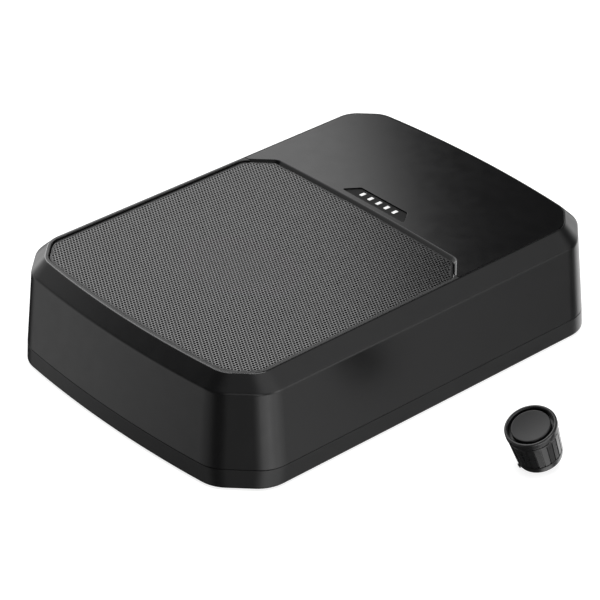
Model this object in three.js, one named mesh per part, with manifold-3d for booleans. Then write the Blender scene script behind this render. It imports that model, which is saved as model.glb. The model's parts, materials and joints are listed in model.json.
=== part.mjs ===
// Underseat powered car subwoofer with its remote level knob.
// Millimetres, +Z up. The origin is on the floor, below the middle of the main box;
// +X points to the short end that carries the connectors, and the remote knob stands on the -Y side.

import * as THREE from 'three';
import { mergeVertices } from 'three/addons/utils/BufferGeometryUtils.js';
import ManifoldModule from 'manifold-3d';

// ---- Driving dimensions -------------------------------------------------------------------

const GAP = 0.3; // between pieces that touch
const FOOT_PROUD = 1.5; // the box stands this far off the floor on its feet
const WALL = 3;

// Outline of the box at four heights: half length, half width, corner cut, corner rounding.
const FLOOR = { x: 172.5, y: 123.6, cut: 26.6, round: 18, z: FOOT_PROUD };
const SEAM = { x: 172.5, y: 123.9, cut: 28.2, round: 18, z: 15.4 };
const SHOULDER = { x: 167.3, y: 118.6, cut: 24.6, round: 18, z: 69 };
const TOP = { x: 157.6, y: 108, cut: 17.3, round: 12, z: 78.9 };
const BOW = 5.4; // how far the short ends bulge between their corners
const BOW_STEPS = 4;
const ROUND_STEPS = 2;

const RECESS = { rim: 2.4, right: 53.2, bow: 1.8, cut: 16.5, round: 8, floor: 72.9 };
const PLATE = { edge: 0.9, thickness: 2, chamfer: 2.4 };
const BADGE = { near: 57.5, far: 68.5, mid: -1, longHalf: 31, shortHalf: 23, floor: 77.4, round: 1.5 };
const BADGE_BARS = { count: 5, pitch: 8, half: 1.3, raised: 0.3 };
const MESH = { top: 77.7, thickness: 0.8, edge: 0.5 };

const DRIVER_X = -51;
const WELL_R = 102.8; // pocket that holds the driver's flange
const DRIVER_HOLE_R = 94.5;
const WELL_FLOOR = 62;
const FLANGE = { r: 102.2, bottom: 63.6, thickness: 2, screwR: 99.2, screws: 8 };
const SPIDER_Z = 42;
const BASKET_BOTTOM = 29.7;
const POLE_R = 18.4;
const COIL_R = 19.6;

const PANEL = { face: 162.8, mid: 42, halfWidth: 77.7, halfHeight: 19.7, thickness: 2.5 };
const POCKET = { halfWidth: 78, halfHeight: 20, ledge: 3, openWidth: 71, openHeight: 14 };
const BOARD = { x0: 22, x1: 146, half: 92, z: 12, thickness: 1.6 };
const COVER_FLOOR = FOOT_PROUD + 2.5;
const BEYOND = 200; // cutting tools reach this far, past every face of the box

const HOUSING_SCREWS = [
  [145.5, 102.8], [-145.5, 102.8], [145.5, -102.8], [-145.5, -102.8],
  [0, 113.5], [0, -113.5],
];
const HOUSING_BOSS = { r: 4.5, top: 27, boreR: 1.8, boreTop: 26 };
const COVER_POST = { r: 5.4, boreR: 1.9, headR: 3.4, headZ: 6 };
const COVER_SCREW = { headR: 2.9, headBottom: 3.6, headTop: 5.7, r: 1.5, tip: 24 };
const FEET = [[128, 82], [-128, 82], [128, -82], [-128, -82]];
const FOOT = { r: 10, tipR: 9.4, pocketR: 10.4 };
const BOARD_POSTS = [[30, 84], [30, -84], [138, 84], [138, -84], [84, 84], [84, -62]];
const BOARD_POST = { r: 3.5, boreR: 1.3, boreBottom: 5, clearanceR: 1.7 };

const REMOTE = { x: 9.2, y: -212.4, tiltDeg: 21, baseR: 15, rimR: 17.2, height: 29.9, wellR: 14.9, capR: 13 };
const REMOTE_OUTLET = { r: 4, bottom: -4.05, top: 2.7, boreR: 1.5 };

// ---- Materials ----------------------------------------------------------------------------

function finish(color, roughness, metalness = 0) {
  return new THREE.MeshStandardMaterial({ color, roughness, metalness });
}

const paint = finish(0x1c1c1d, 0.45, 0.2);
const gloss = finish(0x101011, 0.25);
const plastic = finish(0x19191a, 0.6);
const meshSteel = finish(0x2a2a2b, 0.5, 0.4);
const steel = finish(0x8d9095, 0.35, 0.9);
const darkSteel = finish(0x2b2d30, 0.45, 0.8);
const zinc = finish(0xb4b6b8, 0.3, 0.9);
const rubber = finish(0x121212, 0.9);
const foam = finish(0x2a2a2c, 1);
const conePaper = finish(0x1e1e1f, 0.8);
const ferrite = finish(0x3a3a3d, 0.7, 0.1);
const copper = finish(0xb0673a, 0.4, 0.8);
const kapton = finish(0x8a4b1c, 0.5);
const cloth = finish(0xa98a52, 0.9);
const boardGreen = finish(0x17442a, 0.6);
const alloy = finish(0xa9abad, 0.4, 0.8);
const capSleeve = finish(0x16233d, 0.4);
const nickel = finish(0xc9c6bd, 0.25, 0.9);
const marking = finish(0xe6e6e6, 0.5);
const ledBlue = finish(0x3f7fd0, 0.2);
const fuseOrange = finish(0xc2661c, 0.3);

// ---- Solids -------------------------------------------------------------------------------

const wasm = await ManifoldModule();
wasm.setup();

function signedVolume(position, index) {
  const [a, b, c] = [new THREE.Vector3(), new THREE.Vector3(), new THREE.Vector3()];
  let volume = 0;
  for (let i = 0; i < index.length; i += 3) {
    a.fromBufferAttribute(position, index[i]);
    b.fromBufferAttribute(position, index[i + 1]);
    c.fromBufferAttribute(position, index[i + 2]);
    volume += a.dot(b.cross(c));
  }
  return volume;
}

// A closed three.js geometry as a solid that can be joined and cut.
function solid(geometry) {
  const bare = geometry.clone();
  bare.deleteAttribute('normal');
  bare.deleteAttribute('uv');
  const welded = mergeVertices(bare, 1e-4);
  const index = [];
  const all = welded.index.array;
  for (let i = 0; i < all.length; i += 3) {
    const [a, b, c] = [all[i], all[i + 1], all[i + 2]];
    if (a !== b && b !== c && c !== a) index.push(a, b, c);
  }
  const inward = signedVolume(welded.attributes.position, index) < 0;
  const triVerts = new Uint32Array(inward ? index.reverse() : index);
  const vertProperties = new Float32Array(welded.attributes.position.array);
  return new wasm.Manifold(new wasm.Mesh({ numProp: 3, vertProperties, triVerts }));
}

function join(...solids) {
  return solids.reduce((whole, piece) => whole.add(piece));
}

function cut(whole, ...tools) {
  return tools.reduce((rest, tool) => rest.subtract(tool), whole);
}

function box(x0, x1, y0, y1, z0, z1) {
  const geometry = new THREE.BoxGeometry(x1 - x0, y1 - y0, z1 - z0);
  return solid(geometry.translate((x0 + x1) / 2, (y0 + y1) / 2, (z0 + z1) / 2));
}

function centredBox(x0, x1, y, z, width, height) {
  return box(x0, x1, y - width / 2, y + width / 2, z - height / 2, z + height / 2);
}

// Upright round bar.
function post(x, y, z0, z1, r, segments = 12) {
  const geometry = new THREE.CylinderGeometry(r, r, z1 - z0, segments);
  return solid(geometry.rotateX(Math.PI / 2).translate(x, y, (z0 + z1) / 2));
}

// Round bar lying along X.
function pin(x0, x1, y, z, r, segments = 12) {
  const geometry = new THREE.CylinderGeometry(r, r, x1 - x0, segments);
  return solid(geometry.rotateZ(Math.PI / 2).translate((x0 + x1) / 2, y, z));
}

// Solid of revolution about Z from a closed profile of [radius, height].
function turned(profile, segments = 28) {
  const points = [...profile, profile[0]].map(([r, z]) => new THREE.Vector2(r, z));
  return solid(new THREE.LatheGeometry(points, segments).rotateX(Math.PI / 2));
}

function ring(rInner, rOuter, z0, z1, segments = 28) {
  return turned([[rInner, z0], [rOuter, z0], [rOuter, z1], [rInner, z1]], segments);
}

function prism(outline, z0, z1) {
  const geometry = new THREE.ExtrudeGeometry(new THREE.Shape(outline), {
    depth: z1 - z0,
    bevelEnabled: false,
  });
  return solid(geometry.translate(0, 0, z0));
}

// Solid through outlines of equal point count, each at its own height.
function loft(levels) {
  const count = levels[0].outline.length;
  const positions = levels.flatMap(({ outline, z }) => outline.flatMap((p) => [p.x, p.y, z]));
  const index = [];
  for (let level = 0; level < levels.length - 1; level++) {
    for (let i = 0; i < count; i++) {
      const here = level * count + i;
      const next = level * count + ((i + 1) % count);
      index.push(here, next, next + count, here, next + count, here + count);
    }
  }
  const last = (levels.length - 1) * count;
  for (const [a, b, c] of THREE.ShapeUtils.triangulateShape(levels[0].outline, [])) {
    index.push(a, c, b);
  }
  for (const [a, b, c] of THREE.ShapeUtils.triangulateShape(levels.at(-1).outline, [])) {
    index.push(last + a, last + b, last + c);
  }
  const geometry = new THREE.BufferGeometry();
  geometry.setAttribute('position', new THREE.Float32BufferAttribute(positions, 3));
  geometry.setIndex(index);
  return solid(geometry);
}

// Round cable along a smooth curve.
function cable(points, r, steps, sides = 6) {
  const path = new THREE.CatmullRomCurve3(points.map((p) => new THREE.Vector3(...p)));
  const section = new THREE.Shape();
  for (let i = 0; i < sides; i++) {
    const angle = (i / sides) * 2 * Math.PI;
    const move = i ? 'lineTo' : 'moveTo';
    section[move](r * Math.cos(angle), r * Math.sin(angle));
  }
  return solid(new THREE.ExtrudeGeometry(section, { steps, extrudePath: path }));
}

function around(count, make, startDeg = 0) {
  const start = THREE.MathUtils.degToRad(startDeg);
  return Array.from({ length: count }, (_, i) => make(start + (i * 2 * Math.PI) / count));
}

function addPart(group, name, shape, material) {
  const { numProp, vertProperties, triVerts } = shape.getMesh();
  if (numProp !== 3) throw new Error(`${name}: unexpected vertex layout`);
  const geometry = new THREE.BufferGeometry();
  geometry.setAttribute('position', new THREE.BufferAttribute(new Float32Array(vertProperties), 3));
  geometry.setIndex(new THREE.BufferAttribute(new Uint32Array(triVerts), 1));
  geometry.computeVertexNormals();
  const mesh = new THREE.Mesh(geometry, material);
  mesh.name = name;
  group.add(mesh);
  return mesh;
}

// ---- Outlines -----------------------------------------------------------------------------

// Closed outline whose corners, given as [x, y, radius], are rounded where a radius is given.
function softened(corners) {
  const count = corners.length;
  const at = (i) => new THREE.Vector2(...corners[(i + count) % count].slice(0, 2));
  return corners.flatMap(([, , radius = 0], i) => {
    const here = at(i);
    if (!radius) return [here];
    const back = at(i - 1).sub(here).normalize();
    const onward = at(i + 1).sub(here).normalize();
    const trim = radius * Math.tan((Math.PI - back.angleTo(onward)) / 2);
    const start = here.clone().addScaledVector(back, trim);
    const end = here.clone().addScaledVector(onward, trim);
    return new THREE.QuadraticBezierCurve(start, here, end).getPoints(ROUND_STEPS);
  });
}

// One bulging short end, from its -Y corner to its +Y corner, as corners of an outline.
function bowedEnd(x, half, bow, round) {
  const flat = half - 0.5 * round;
  const corners = [[x - bow, -half, round]];
  for (let i = 0; i <= BOW_STEPS; i++) {
    const y = flat * ((2 * i) / BOW_STEPS - 1);
    corners.push([x - bow * (y / half) ** 2, y]);
  }
  corners.push([x - bow, half, round]);
  return corners;
}

// The box's outline at one level, moved in by inset: bowed ends, straight sides, cut corners.
function boxOutline({ x, y, cut: corner, round }, inset = 0) {
  const leg = corner - inset * (2 - Math.SQRT2);
  const radius = Math.max(round - inset, 2);
  const end = bowedEnd(x - inset, y - inset - leg, BOW, radius);
  const sideX = x - inset - BOW - leg;
  const right = [[sideX, -(y - inset), radius], ...end, [sideX, y - inset, radius]];
  const left = right.map(([px, py, r]) => [-px, -py, r]);
  return softened([...right, ...left]);
}

// Outline of the grille recess: it follows the top's edge on the left and has its own right end.
function recessOutline(inset, rightShift = 0) {
  const half = TOP.y - RECESS.rim - inset;
  const leg = RECESS.cut - inset * (2 - Math.SQRT2);
  const x = RECESS.right - inset - rightShift;
  const radius = Math.max(RECESS.round - inset, 2);
  const end = bowedEnd(x, half - leg, RECESS.bow, radius);
  const sideX = x - RECESS.bow - leg;
  const left = boxOutline(TOP, RECESS.rim + inset).filter((p) => p.x < 0).map((p) => [p.x, p.y]);
  return softened([[sideX, -half, radius], ...end, [sideX, half, radius], ...left]);
}

function badgeOutline(inset) {
  const { near, far, mid, longHalf, shortHalf, round } = BADGE;
  const long = longHalf - 1.4 * inset;
  const short = shortHalf - 0.6 * inset;
  return softened([
    [near + inset, mid - long, round],
    [far - inset, mid - short, round],
    [far - inset, mid + short, round],
    [near + inset, mid + long, round],
  ]);
}

// ---- Housing ------------------------------------------------------------------------------

function panelPocket() {
  const { halfWidth, halfHeight, ledge, openWidth, openHeight } = POCKET;
  const back = PANEL.face - PANEL.thickness - GAP;
  const slab = (x0, width, height) => centredBox(x0, BEYOND, 0, PANEL.mid, 2 * width, 2 * height);
  const block = slab(back - ledge, halfWidth + WALL, halfHeight + WALL);
  const pocket = slab(back, halfWidth, halfHeight);
  const window = slab(back - 2 * ledge, openWidth, openHeight);
  return { block, opening: join(pocket, window) };
}

function topHousing() {
  const outer = loft([SEAM, SHOULDER, TOP].map((level) => ({ outline: boxOutline(level), z: level.z })));
  const plateFloor = TOP.z - PLATE.thickness - GAP;
  const well = (r, z0) => post(DRIVER_X, 0, z0, TOP.z + 1, r, 48);
  const cavity = cut(
    loft([
      { outline: boxOutline(SEAM, WALL), z: SEAM.z - 1 },
      { outline: boxOutline(SHOULDER, WALL), z: SHOULDER.z - 1.4 },
      { outline: boxOutline(TOP, 1.2), z: plateFloor - WALL },
    ]),
    prism(recessOutline(-WALL), RECESS.floor - WALL, TOP.z),
    well(WELL_R + WALL, WELL_FLOOR - WALL),
  );
  const foot = cut(
    prism(boxOutline(SEAM), SEAM.z, SEAM.z + WALL),
    prism(boxOutline(SEAM, 2 * WALL), SEAM.z - 1, SEAM.z + WALL + 1),
  ).intersect(outer);
  const boss = HOUSING_BOSS;
  const bosses = HOUSING_SCREWS.map(([x, y]) => post(x, y, SEAM.z, boss.top, boss.r, 12));
  const bossHoles = HOUSING_SCREWS.map(([x, y]) => post(x, y, SEAM.z - 1, boss.boreTop, boss.boreR, 8));
  const { block, opening } = panelPocket();
  const plateRecess = prism(boxOutline(TOP, PLATE.edge - GAP), plateFloor, TOP.z + 1)
    .intersect(box(RECESS.right - RECESS.cut - 2 * GAP, BEYOND, -BEYOND, BEYOND, 0, BEYOND));
  const recess = prism(recessOutline(0, PLATE.chamfer), RECESS.floor, TOP.z + 1);
  const shell = join(outer.subtract(cavity), foot, block.intersect(outer), ...bosses);
  return cut(
    shell, recess, well(WELL_R, WELL_FLOOR), well(DRIVER_HOLE_R, WELL_FLOOR - 20),
    plateRecess, opening, ...bossHoles,
  );
}

function topPlate() {
  const bottom = TOP.z - PLATE.thickness;
  const blank = prism(boxOutline(TOP, PLATE.edge), bottom, TOP.z)
    .intersect(box(RECESS.right - RECESS.cut, BEYOND, -BEYOND, BEYOND, 0, BEYOND));
  const slope = PLATE.chamfer / PLATE.thickness;
  const slopedEdge = loft([
    { outline: recessOutline(0, PLATE.chamfer + slope), z: bottom - 1 },
    { outline: recessOutline(0, -slope), z: TOP.z + 1 },
  ]);
  return cut(blank, slopedEdge, prism(badgeOutline(0), BADGE.floor, TOP.z + 1));
}

// Dark plate with a row of plain raised bars.
function badgePlate() {
  const { count, pitch, half, raised } = BADGE_BARS;
  const [bottom, top] = [BADGE.floor + GAP, BADGE.floor + 0.8];
  const bars = Array.from({ length: count }, (_, i) => {
    const y = BADGE.mid + (i - (count - 1) / 2) * pitch;
    return box(BADGE.near + 3.5, BADGE.far - 3, y - half, y + half, bottom, top + raised);
  });
  return join(prism(badgeOutline(0.4), bottom, top), ...bars);
}

function bottomCover() {
  const shoulder = SEAM.z - GAP;
  const outer = loft([
    { outline: boxOutline(FLOOR), z: FLOOR.z },
    { outline: boxOutline(SEAM), z: shoulder },
  ]);
  const inside = prism(boxOutline(SEAM, 5.5), COVER_FLOOR, SEAM.z + 1);
  const groove = cut(
    prism(boxOutline(SEAM, 1.6), shoulder - 2, SEAM.z + 1),
    prism(boxOutline(SEAM, 4.4), shoulder - 3, SEAM.z + 2),
  );
  const { r, boreR, headR, headZ } = COVER_POST;
  const posts = HOUSING_SCREWS.map(([x, y]) => post(x, y, FLOOR.z, shoulder, r, 12));
  const boardPosts = BOARD_POSTS.map(([x, y]) => post(x, y, FLOOR.z, BOARD.z - GAP, BOARD_POST.r, 10));
  const holes = [
    ...HOUSING_SCREWS.map(([x, y]) => post(x, y, 0, SEAM.z + 1, boreR, 8)),
    ...HOUSING_SCREWS.map(([x, y]) => post(x, y, 0, headZ, headR, 12)),
    ...BOARD_POSTS.map(([x, y]) => post(x, y, BOARD_POST.boreBottom, BOARD.z, BOARD_POST.boreR, 6)),
    ...FEET.map(([x, y]) => post(x, y, 0, FLOOR.z + 1, FOOT.pocketR, 20)),
  ];
  return cut(join(cut(outer, inside, groove), ...posts, ...boardPosts), ...holes);
}

function addHousing(group) {
  addPart(group, 'top_housing', topHousing(), paint);
  addPart(group, 'bottom_cover', bottomCover(), plastic);
  const gasket = cut(
    prism(boxOutline(SEAM, 2.2), SEAM.z - 2, SEAM.z - GAP),
    prism(boxOutline(SEAM, 3.8), SEAM.z - 3, SEAM.z + 1),
  );
  addPart(group, 'perimeter_gasket', gasket, rubber);
  addPart(group, 'top_plate', topPlate(), gloss);
  addPart(group, 'badge_plate', badgePlate(), gloss);

  const bottom = MESH.top - MESH.thickness;
  const right = PLATE.chamfer;
  const skirt = prism(recessOutline(MESH.edge, right), RECESS.floor + GAP, MESH.top);
  const under = prism(recessOutline(MESH.edge + MESH.thickness, right), RECESS.floor - 1, bottom);
  addPart(group, 'grille_mesh', skirt.subtract(under), meshSteel);
  const frame = cut(
    prism(recessOutline(MESH.edge + MESH.thickness + GAP, right), RECESS.floor + GAP, bottom - GAP),
    prism(recessOutline(8, right), RECESS.floor - 1, TOP.z),
  );
  addPart(group, 'grille_frame', frame, plastic);

  HOUSING_SCREWS.forEach(([x, y], i) => {
    const { headR, headBottom, headTop, r, tip } = COVER_SCREW;
    const screw = join(post(0, 0, headBottom, headTop, headR, 12), post(0, 0, headTop - 0.7, tip, r, 8));
    addPart(group, `housing_screw_${i + 1}`, screw, darkSteel).position.set(x, y, 0);
  });
  FEET.forEach(([x, y], i) => {
    const foot = join(post(0, 0, 0, 1, FOOT.tipR, 20), post(0, 0, 0.6, FLOOR.z + 0.7, FOOT.r, 20));
    addPart(group, `rubber_foot_${i + 1}`, foot, rubber).position.set(x, y, 0);
  });
}

// ---- Driver -------------------------------------------------------------------------------

function sector(r0, r1, midDeg, halfDeg, z0, z1) {
  const [from, to] = [midDeg - halfDeg, midDeg + halfDeg].map(THREE.MathUtils.degToRad);
  const shape = new THREE.Shape();
  shape.absarc(0, 0, r1, from, to, false);
  shape.absarc(0, 0, r0, to, from, true);
  const geometry = new THREE.ExtrudeGeometry(shape, {
    depth: z1 - z0,
    bevelEnabled: false,
    curveSegments: 3,
  });
  return solid(geometry.translate(0, 0, z0));
}

function basket() {
  const { r, bottom, thickness } = FLANGE;
  const top = bottom + thickness;
  const body = turned([
    [22.5, BASKET_BOTTOM], [48, BASKET_BOTTOM], [52.2, SPIDER_Z - 2], [59.3, SPIDER_Z - 2],
    [92.9, bottom], [r, bottom], [r, top], [92.2, top],
    [58.6, SPIDER_Z], [50.4, SPIDER_Z], [46.4, BASKET_BOTTOM + 2], [22.5, BASKET_BOTTOM + 2],
  ], 40);
  const windows = [30, 90, 150, 210, 270, 330].map((deg) => {
    return sector(61, 87, deg, 20, SPIDER_Z - 8, bottom - 1);
  });
  const holes = around(FLANGE.screws, (angle) => {
    const [x, y] = [FLANGE.screwR * Math.cos(angle), FLANGE.screwR * Math.sin(angle)];
    return post(x, y, bottom - 1, top + 1, 1.9, 6);
  }, 22.5);
  return cut(body, ...windows, ...holes);
}

// Half-round roll between two flat landings.
function surround() {
  const z = FLANGE.bottom + FLANGE.thickness + GAP;
  const [inner, rollIn, rollOut, outer] = [77.1, 78.5, 91.5, 96.2];
  const [thickness, height, steps] = [0.6, 5.5, 4];
  const mid = (rollIn + rollOut) / 2;
  const half = (rollOut - rollIn) / 2;
  const arc = (rise, spread, lift) => Array.from({ length: steps + 1 }, (_, i) => {
    const angle = Math.PI - (i / steps) * Math.PI;
    return [mid + (half + spread) * Math.cos(angle), z + lift + (height + rise) * Math.sin(angle)];
  });
  const upper = arc(0, 0, thickness);
  const lower = arc(-0.1, -thickness, 0).reverse();
  const landings = [[outer, z + thickness], [outer, z]];
  return turned([[inner, z], [inner, z + thickness], ...upper, ...landings, ...lower], 30);
}

function spider() {
  const z = SPIDER_Z + GAP;
  const [inner, outer, waves, thickness, amplitude] = [19.7, 57.2, 3, 0.6, 1.1];
  const flat = 4;
  const profile = [];
  const steps = waves * 2;
  for (let i = 0; i <= steps; i++) {
    const r = inner + flat + ((outer - inner - 2 * flat) * i) / steps;
    profile.push([r, z + (i % 2 ? amplitude : 0)]);
  }
  const lower = [[inner, z], ...profile, [outer, z]];
  const upper = lower.map(([r, height]) => [r, height + thickness]).reverse();
  return turned([...lower, ...upper], 24);
}

function addDriver(group) {
  const flangeTop = FLANGE.bottom + FLANGE.thickness;
  const seal = ring(95, FLANGE.r - 0.2, WELL_FLOOR + GAP, FLANGE.bottom - GAP);
  addPart(group, 'driver_seal', seal, foam);
  addPart(group, 'driver_basket', basket(), darkSteel);
  addPart(group, 'surround', surround(), rubber);
  const gasketZ = flangeTop + 2 * GAP + 0.6;
  addPart(group, 'surround_gasket', ring(91.9, 96.2, gasketZ, gasketZ + 2, 30), rubber);
  addPart(group, 'cone', turned([[19.8, 46.3], [76.8, 65.4], [76.8, 66.6], [19.8, 47.5]], 30), conePaper);
  addPart(group, 'dust_cap', turned([
    [36, 53.5], [34, 55.4], [27, 57.8], [15, 59.9], [0, 60.6],
    [0, 59.6], [15, 58.9], [27, 56.7], [33, 54.6], [34.6, 53.1],
  ], 28), conePaper);
  addPart(group, 'voice_coil_former', ring(18.9, 19.3, 18.3, 50.5), kapton);
  addPart(group, 'voice_coil', ring(COIL_R, COIL_R + 0.8, 20.9, 32.9), copper);
  addPart(group, 'spider', spider(), cloth);

  addPart(group, 'magnet_top_plate', ring(COIL_R + 1.4, 45, 24.4, 29.4), zinc);
  addPart(group, 'magnet', ring(23, 50, 10.1, 24.1), ferrite);
  const yoke = turned([[6, 5.3], [45, 5.3], [45, 9.8], [POLE_R, 9.8], [POLE_R, 30.4], [6, 30.4]]);
  addPart(group, 'pole_yoke', yoke, zinc);

  addPart(group, 'driver_terminal', box(62, 74, -16, 16, 33, 41), plastic);
  const leads = [1, -1].map((side) => cable([
    [69, side * 14.5, 42.2], [63, side * 13.5, 47.5], [45, side * 9, 48.5], [25, side * 4, 46.2],
  ], 0.6, 10, 6));
  const tagStrip = box(68.4, 70, -15, 15, 41.6, 42.6);
  addPart(group, 'tinsel_leads', join(tagStrip, ...leads), copper);
}

// ---- Amplifier ----------------------------------------------------------------------------

function toroid(x, y, z0, rInner, rOuter, height) {
  const bottom = [[rInner, 1.5], [rInner + 1.5, 0], [rOuter - 1.5, 0], [rOuter, 1.5]];
  const top = bottom.map(([r, z]) => [r, height - z]).reverse();
  const points = [...bottom, ...top, bottom[0]].map(([r, z]) => new THREE.Vector2(r, z));
  return solid(new THREE.LatheGeometry(points, 20).rotateX(Math.PI / 2).translate(x, y, z0));
}

function heatSink(z) {
  const [height, pitch, finThickness] = [28, 6.5, 1.6];
  const fins = Array.from({ length: 14 }, (_, i) => {
    const x = 43 + i * pitch;
    return box(x, x + finThickness, -BOARD.half, -83, z, z + height);
  });
  return join(box(40, 132, -84, -80, z, z + height), ...fins);
}

function addAmplifier(group) {
  const surface = BOARD.z + BOARD.thickness;
  const onBoard = surface + GAP;
  const holes = BOARD_POSTS.map(([x, y]) => post(x, y, BOARD.z - 1, surface + 1, BOARD_POST.clearanceR, 10));
  const board = box(BOARD.x0, BOARD.x1, -BOARD.half, BOARD.half, BOARD.z, surface);
  addPart(group, 'amplifier_board', cut(board, ...holes), boardGreen);
  addPart(group, 'heat_sink', heatSink(onBoard), alloy);
  const transistors = Array.from({ length: 6 }, (_, i) => {
    return box(45 + i * 14, 55 + i * 14, -79.7, -75.2, onBoard + 3, onBoard + 18);
  });
  const clamp = box(44, 126, -76, -73.5, onBoard + 9, onBoard + 13);
  addPart(group, 'power_transistors', join(...transistors, clamp), plastic);

  addPart(group, 'supply_transformer', toroid(62, 34, onBoard, 7, 20, 18), copper);
  addPart(group, 'output_inductor', toroid(96, -18, onBoard, 5, 13, 13), copper);
  [[106, 42], [106, 68]].forEach(([x, y], i) => {
    addPart(group, `capacitor_${i + 1}`, post(x, y, onBoard, onBoard + 34, 11, 28), capSleeve);
  });
  const lead = (shift) => cable([
    [34, -30 + shift, onBoard], [34, -28 + shift, 28], [34, -10 + shift, 37], [24.4, shift, 37],
  ], 1.2, 10);
  addPart(group, 'speaker_leads', join(lead(-1.1), lead(1.1)), rubber);
}

// ---- Control panel ------------------------------------------------------------------------
// Panel coordinates: x is 0 on the panel's face, y and z are 0 at its middle.

const CONTROL_BOARD_X = -12;
const SOCKETS = {
  power_socket: { y: -52, z: -6.5, width: 28, height: 13, wall: 2, depth: 9, front: 3 },
  speaker_level_socket: { y: -26, z: -6.5, width: 16.4, height: 12, wall: 1.8, depth: 8, front: 2 },
  remote_socket: { y: -26, z: 7.5, width: 14, height: 11, wall: 1.8, depth: 8, front: 2 },
};
const FUSE = { y: -52, z: 8, width: 23, height: 9 };
const JACKS = [{ y: -6, z: -7 }, { y: -6, z: 7 }];
const POTS = { gain: 14, crossover: 34, bass_boost: 54 };
const POT_Z = 6;
const SWITCHES = { phase: 14, power_mode: 34 };
const SWITCH_Z = -9;
const SWITCH_TRAVEL = 3;
const LED = { y: 54, z: -9 };
const PANEL_SCREWS = [[74.5, 16.8], [-74.5, 16.8], [74.5, -16.8], [-74.5, -16.8]];

function socketShell({ y, z, width, height, wall, depth, front }) {
  return cut(
    centredBox(CONTROL_BOARD_X + GAP, front, y, z, width, height),
    centredBox(front - depth, front + 1, y, z, width - 2 * wall, height - 2 * wall),
  );
}

function panelPlate() {
  const { halfWidth, halfHeight, thickness } = PANEL;
  const plate = centredBox(-thickness, 0, 0, 0, 2 * halfWidth, 2 * halfHeight);
  const through = (y, z, r) => pin(-thickness - 1, 1, y, z, r);
  const slot = (y, z, width, height) => centredBox(-thickness - 1, 1, y, z, width, height);
  return cut(
    plate,
    ...Object.values(SOCKETS).map((s) => slot(s.y, s.z, s.width + 2 * GAP, s.height + 2 * GAP)),
    slot(FUSE.y, FUSE.z, FUSE.width + 2 * GAP, FUSE.height + 2 * GAP),
    ...JACKS.map((jack) => through(jack.y, jack.z, 4.6)),
    ...Object.values(POTS).map((y) => through(y, POT_Z, 3.5)),
    ...Object.values(SWITCHES).map((y) => slot(y + SWITCH_TRAVEL / 2, SWITCH_Z, 7, 3)),
    through(LED.y, LED.z, 2),
    ...PANEL_SCREWS.map(([y, z]) => through(y, z, 1.7)),
  );
}

function controlKnob(y) {
  const skirt = join(pin(0.5, 2, y, POT_Z, 6.2, 16), pin(1.5, 6.4, y, POT_Z, 5.2, 16));
  const grips = around(8, (angle) => {
    return pin(2, 7, y + 5.4 * Math.cos(angle), POT_Z + 5.4 * Math.sin(angle), 0.6, 4);
  }, 22.5);
  const pointer = box(5.6, 7, y - 0.5, y + 0.5, POT_Z + 1, POT_Z + 6);
  return join(cut(skirt, ...grips, pointer), pin(-8.7, 1, y, POT_Z, 3, 20));
}

function addPanel(group) {
  addPart(group, 'control_panel', panelPlate(), plastic);
  const board = box(CONTROL_BOARD_X - BOARD.thickness, CONTROL_BOARD_X, -68, 68, -18, 14);
  addPart(group, 'control_board', board, boardGreen);
  for (const [name, socket] of Object.entries(SOCKETS)) {
    addPart(group, name, socketShell(socket), plastic);
  }
  const holder = cut(
    centredBox(CONTROL_BOARD_X + GAP, 1, FUSE.y, FUSE.z, FUSE.width, FUSE.height),
    centredBox(-7, 2, FUSE.y, FUSE.z, 19.6, 5.6),
  );
  addPart(group, 'fuse_holder', holder, plastic);
  addPart(group, 'blade_fuse', join(
    centredBox(-1.5, 5, FUSE.y, FUSE.z, 19, 5), centredBox(-6.5, -1, FUSE.y - 6, FUSE.z, 5, 0.8),
    centredBox(-6.5, -1, FUSE.y + 6, FUSE.z, 5, 0.8),
  ), fuseOrange);
  const barrels = JACKS.map(({ y, z }) => cut(pin(-4, 6.2, y, z, 4.15, 24), pin(0, 7, y, z, 1.5, 12)));
  const body = centredBox(CONTROL_BOARD_X + GAP, -3, JACKS[0].y, 0, 12, 26);
  addPart(group, 'rca_jacks', join(body, ...barrels), nickel);
  for (const [name, y] of Object.entries(POTS)) {
    addPart(group, `${name}_knob`, controlKnob(y), plastic);
  }
  const pots = Object.values(POTS).map((y) => {
    return cut(centredBox(CONTROL_BOARD_X + GAP, -3.2, y, POT_Z, 12, 12), pin(-9, -3, y, POT_Z, 3.3));
  });
  const potFrame = box(-11, -10, POTS.gain, POTS.bass_boost, POT_Z - 5, POT_Z + 5);
  addPart(group, 'potentiometers', join(potFrame, ...pots), steel);
  const switchBodies = Object.values(SWITCHES).map((y) => cut(
    centredBox(CONTROL_BOARD_X + GAP, -4, y + SWITCH_TRAVEL / 2, SWITCH_Z, 13, 6.5),
    centredBox(-7, -3, y + SWITCH_TRAVEL / 2, SWITCH_Z, 7, 3),
  ));
  const switchFrame = box(-11, -10, SWITCHES.phase, SWITCHES.power_mode, SWITCH_Z - 2, SWITCH_Z + 2);
  addPart(group, 'slide_switches', join(switchFrame, ...switchBodies), steel);
  for (const [name, y] of Object.entries(SWITCHES)) {
    addPart(group, `${name}_slider`, centredBox(-6.6, 1.8, y, SWITCH_Z, 3.2, 2.3), marking);
  }
  const lens = join(pin(-6, 0, LED.y, LED.z, 1.6, 16), pin(-0.5, 0.8, LED.y, LED.z, 1.2, 16));
  addPart(group, 'status_led', lens, ledBlue);
}

// ---- Remote level knob --------------------------------------------------------------------
// Remote coordinates: z is 0 on the underside of its base and runs along the knob's axis.

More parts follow.
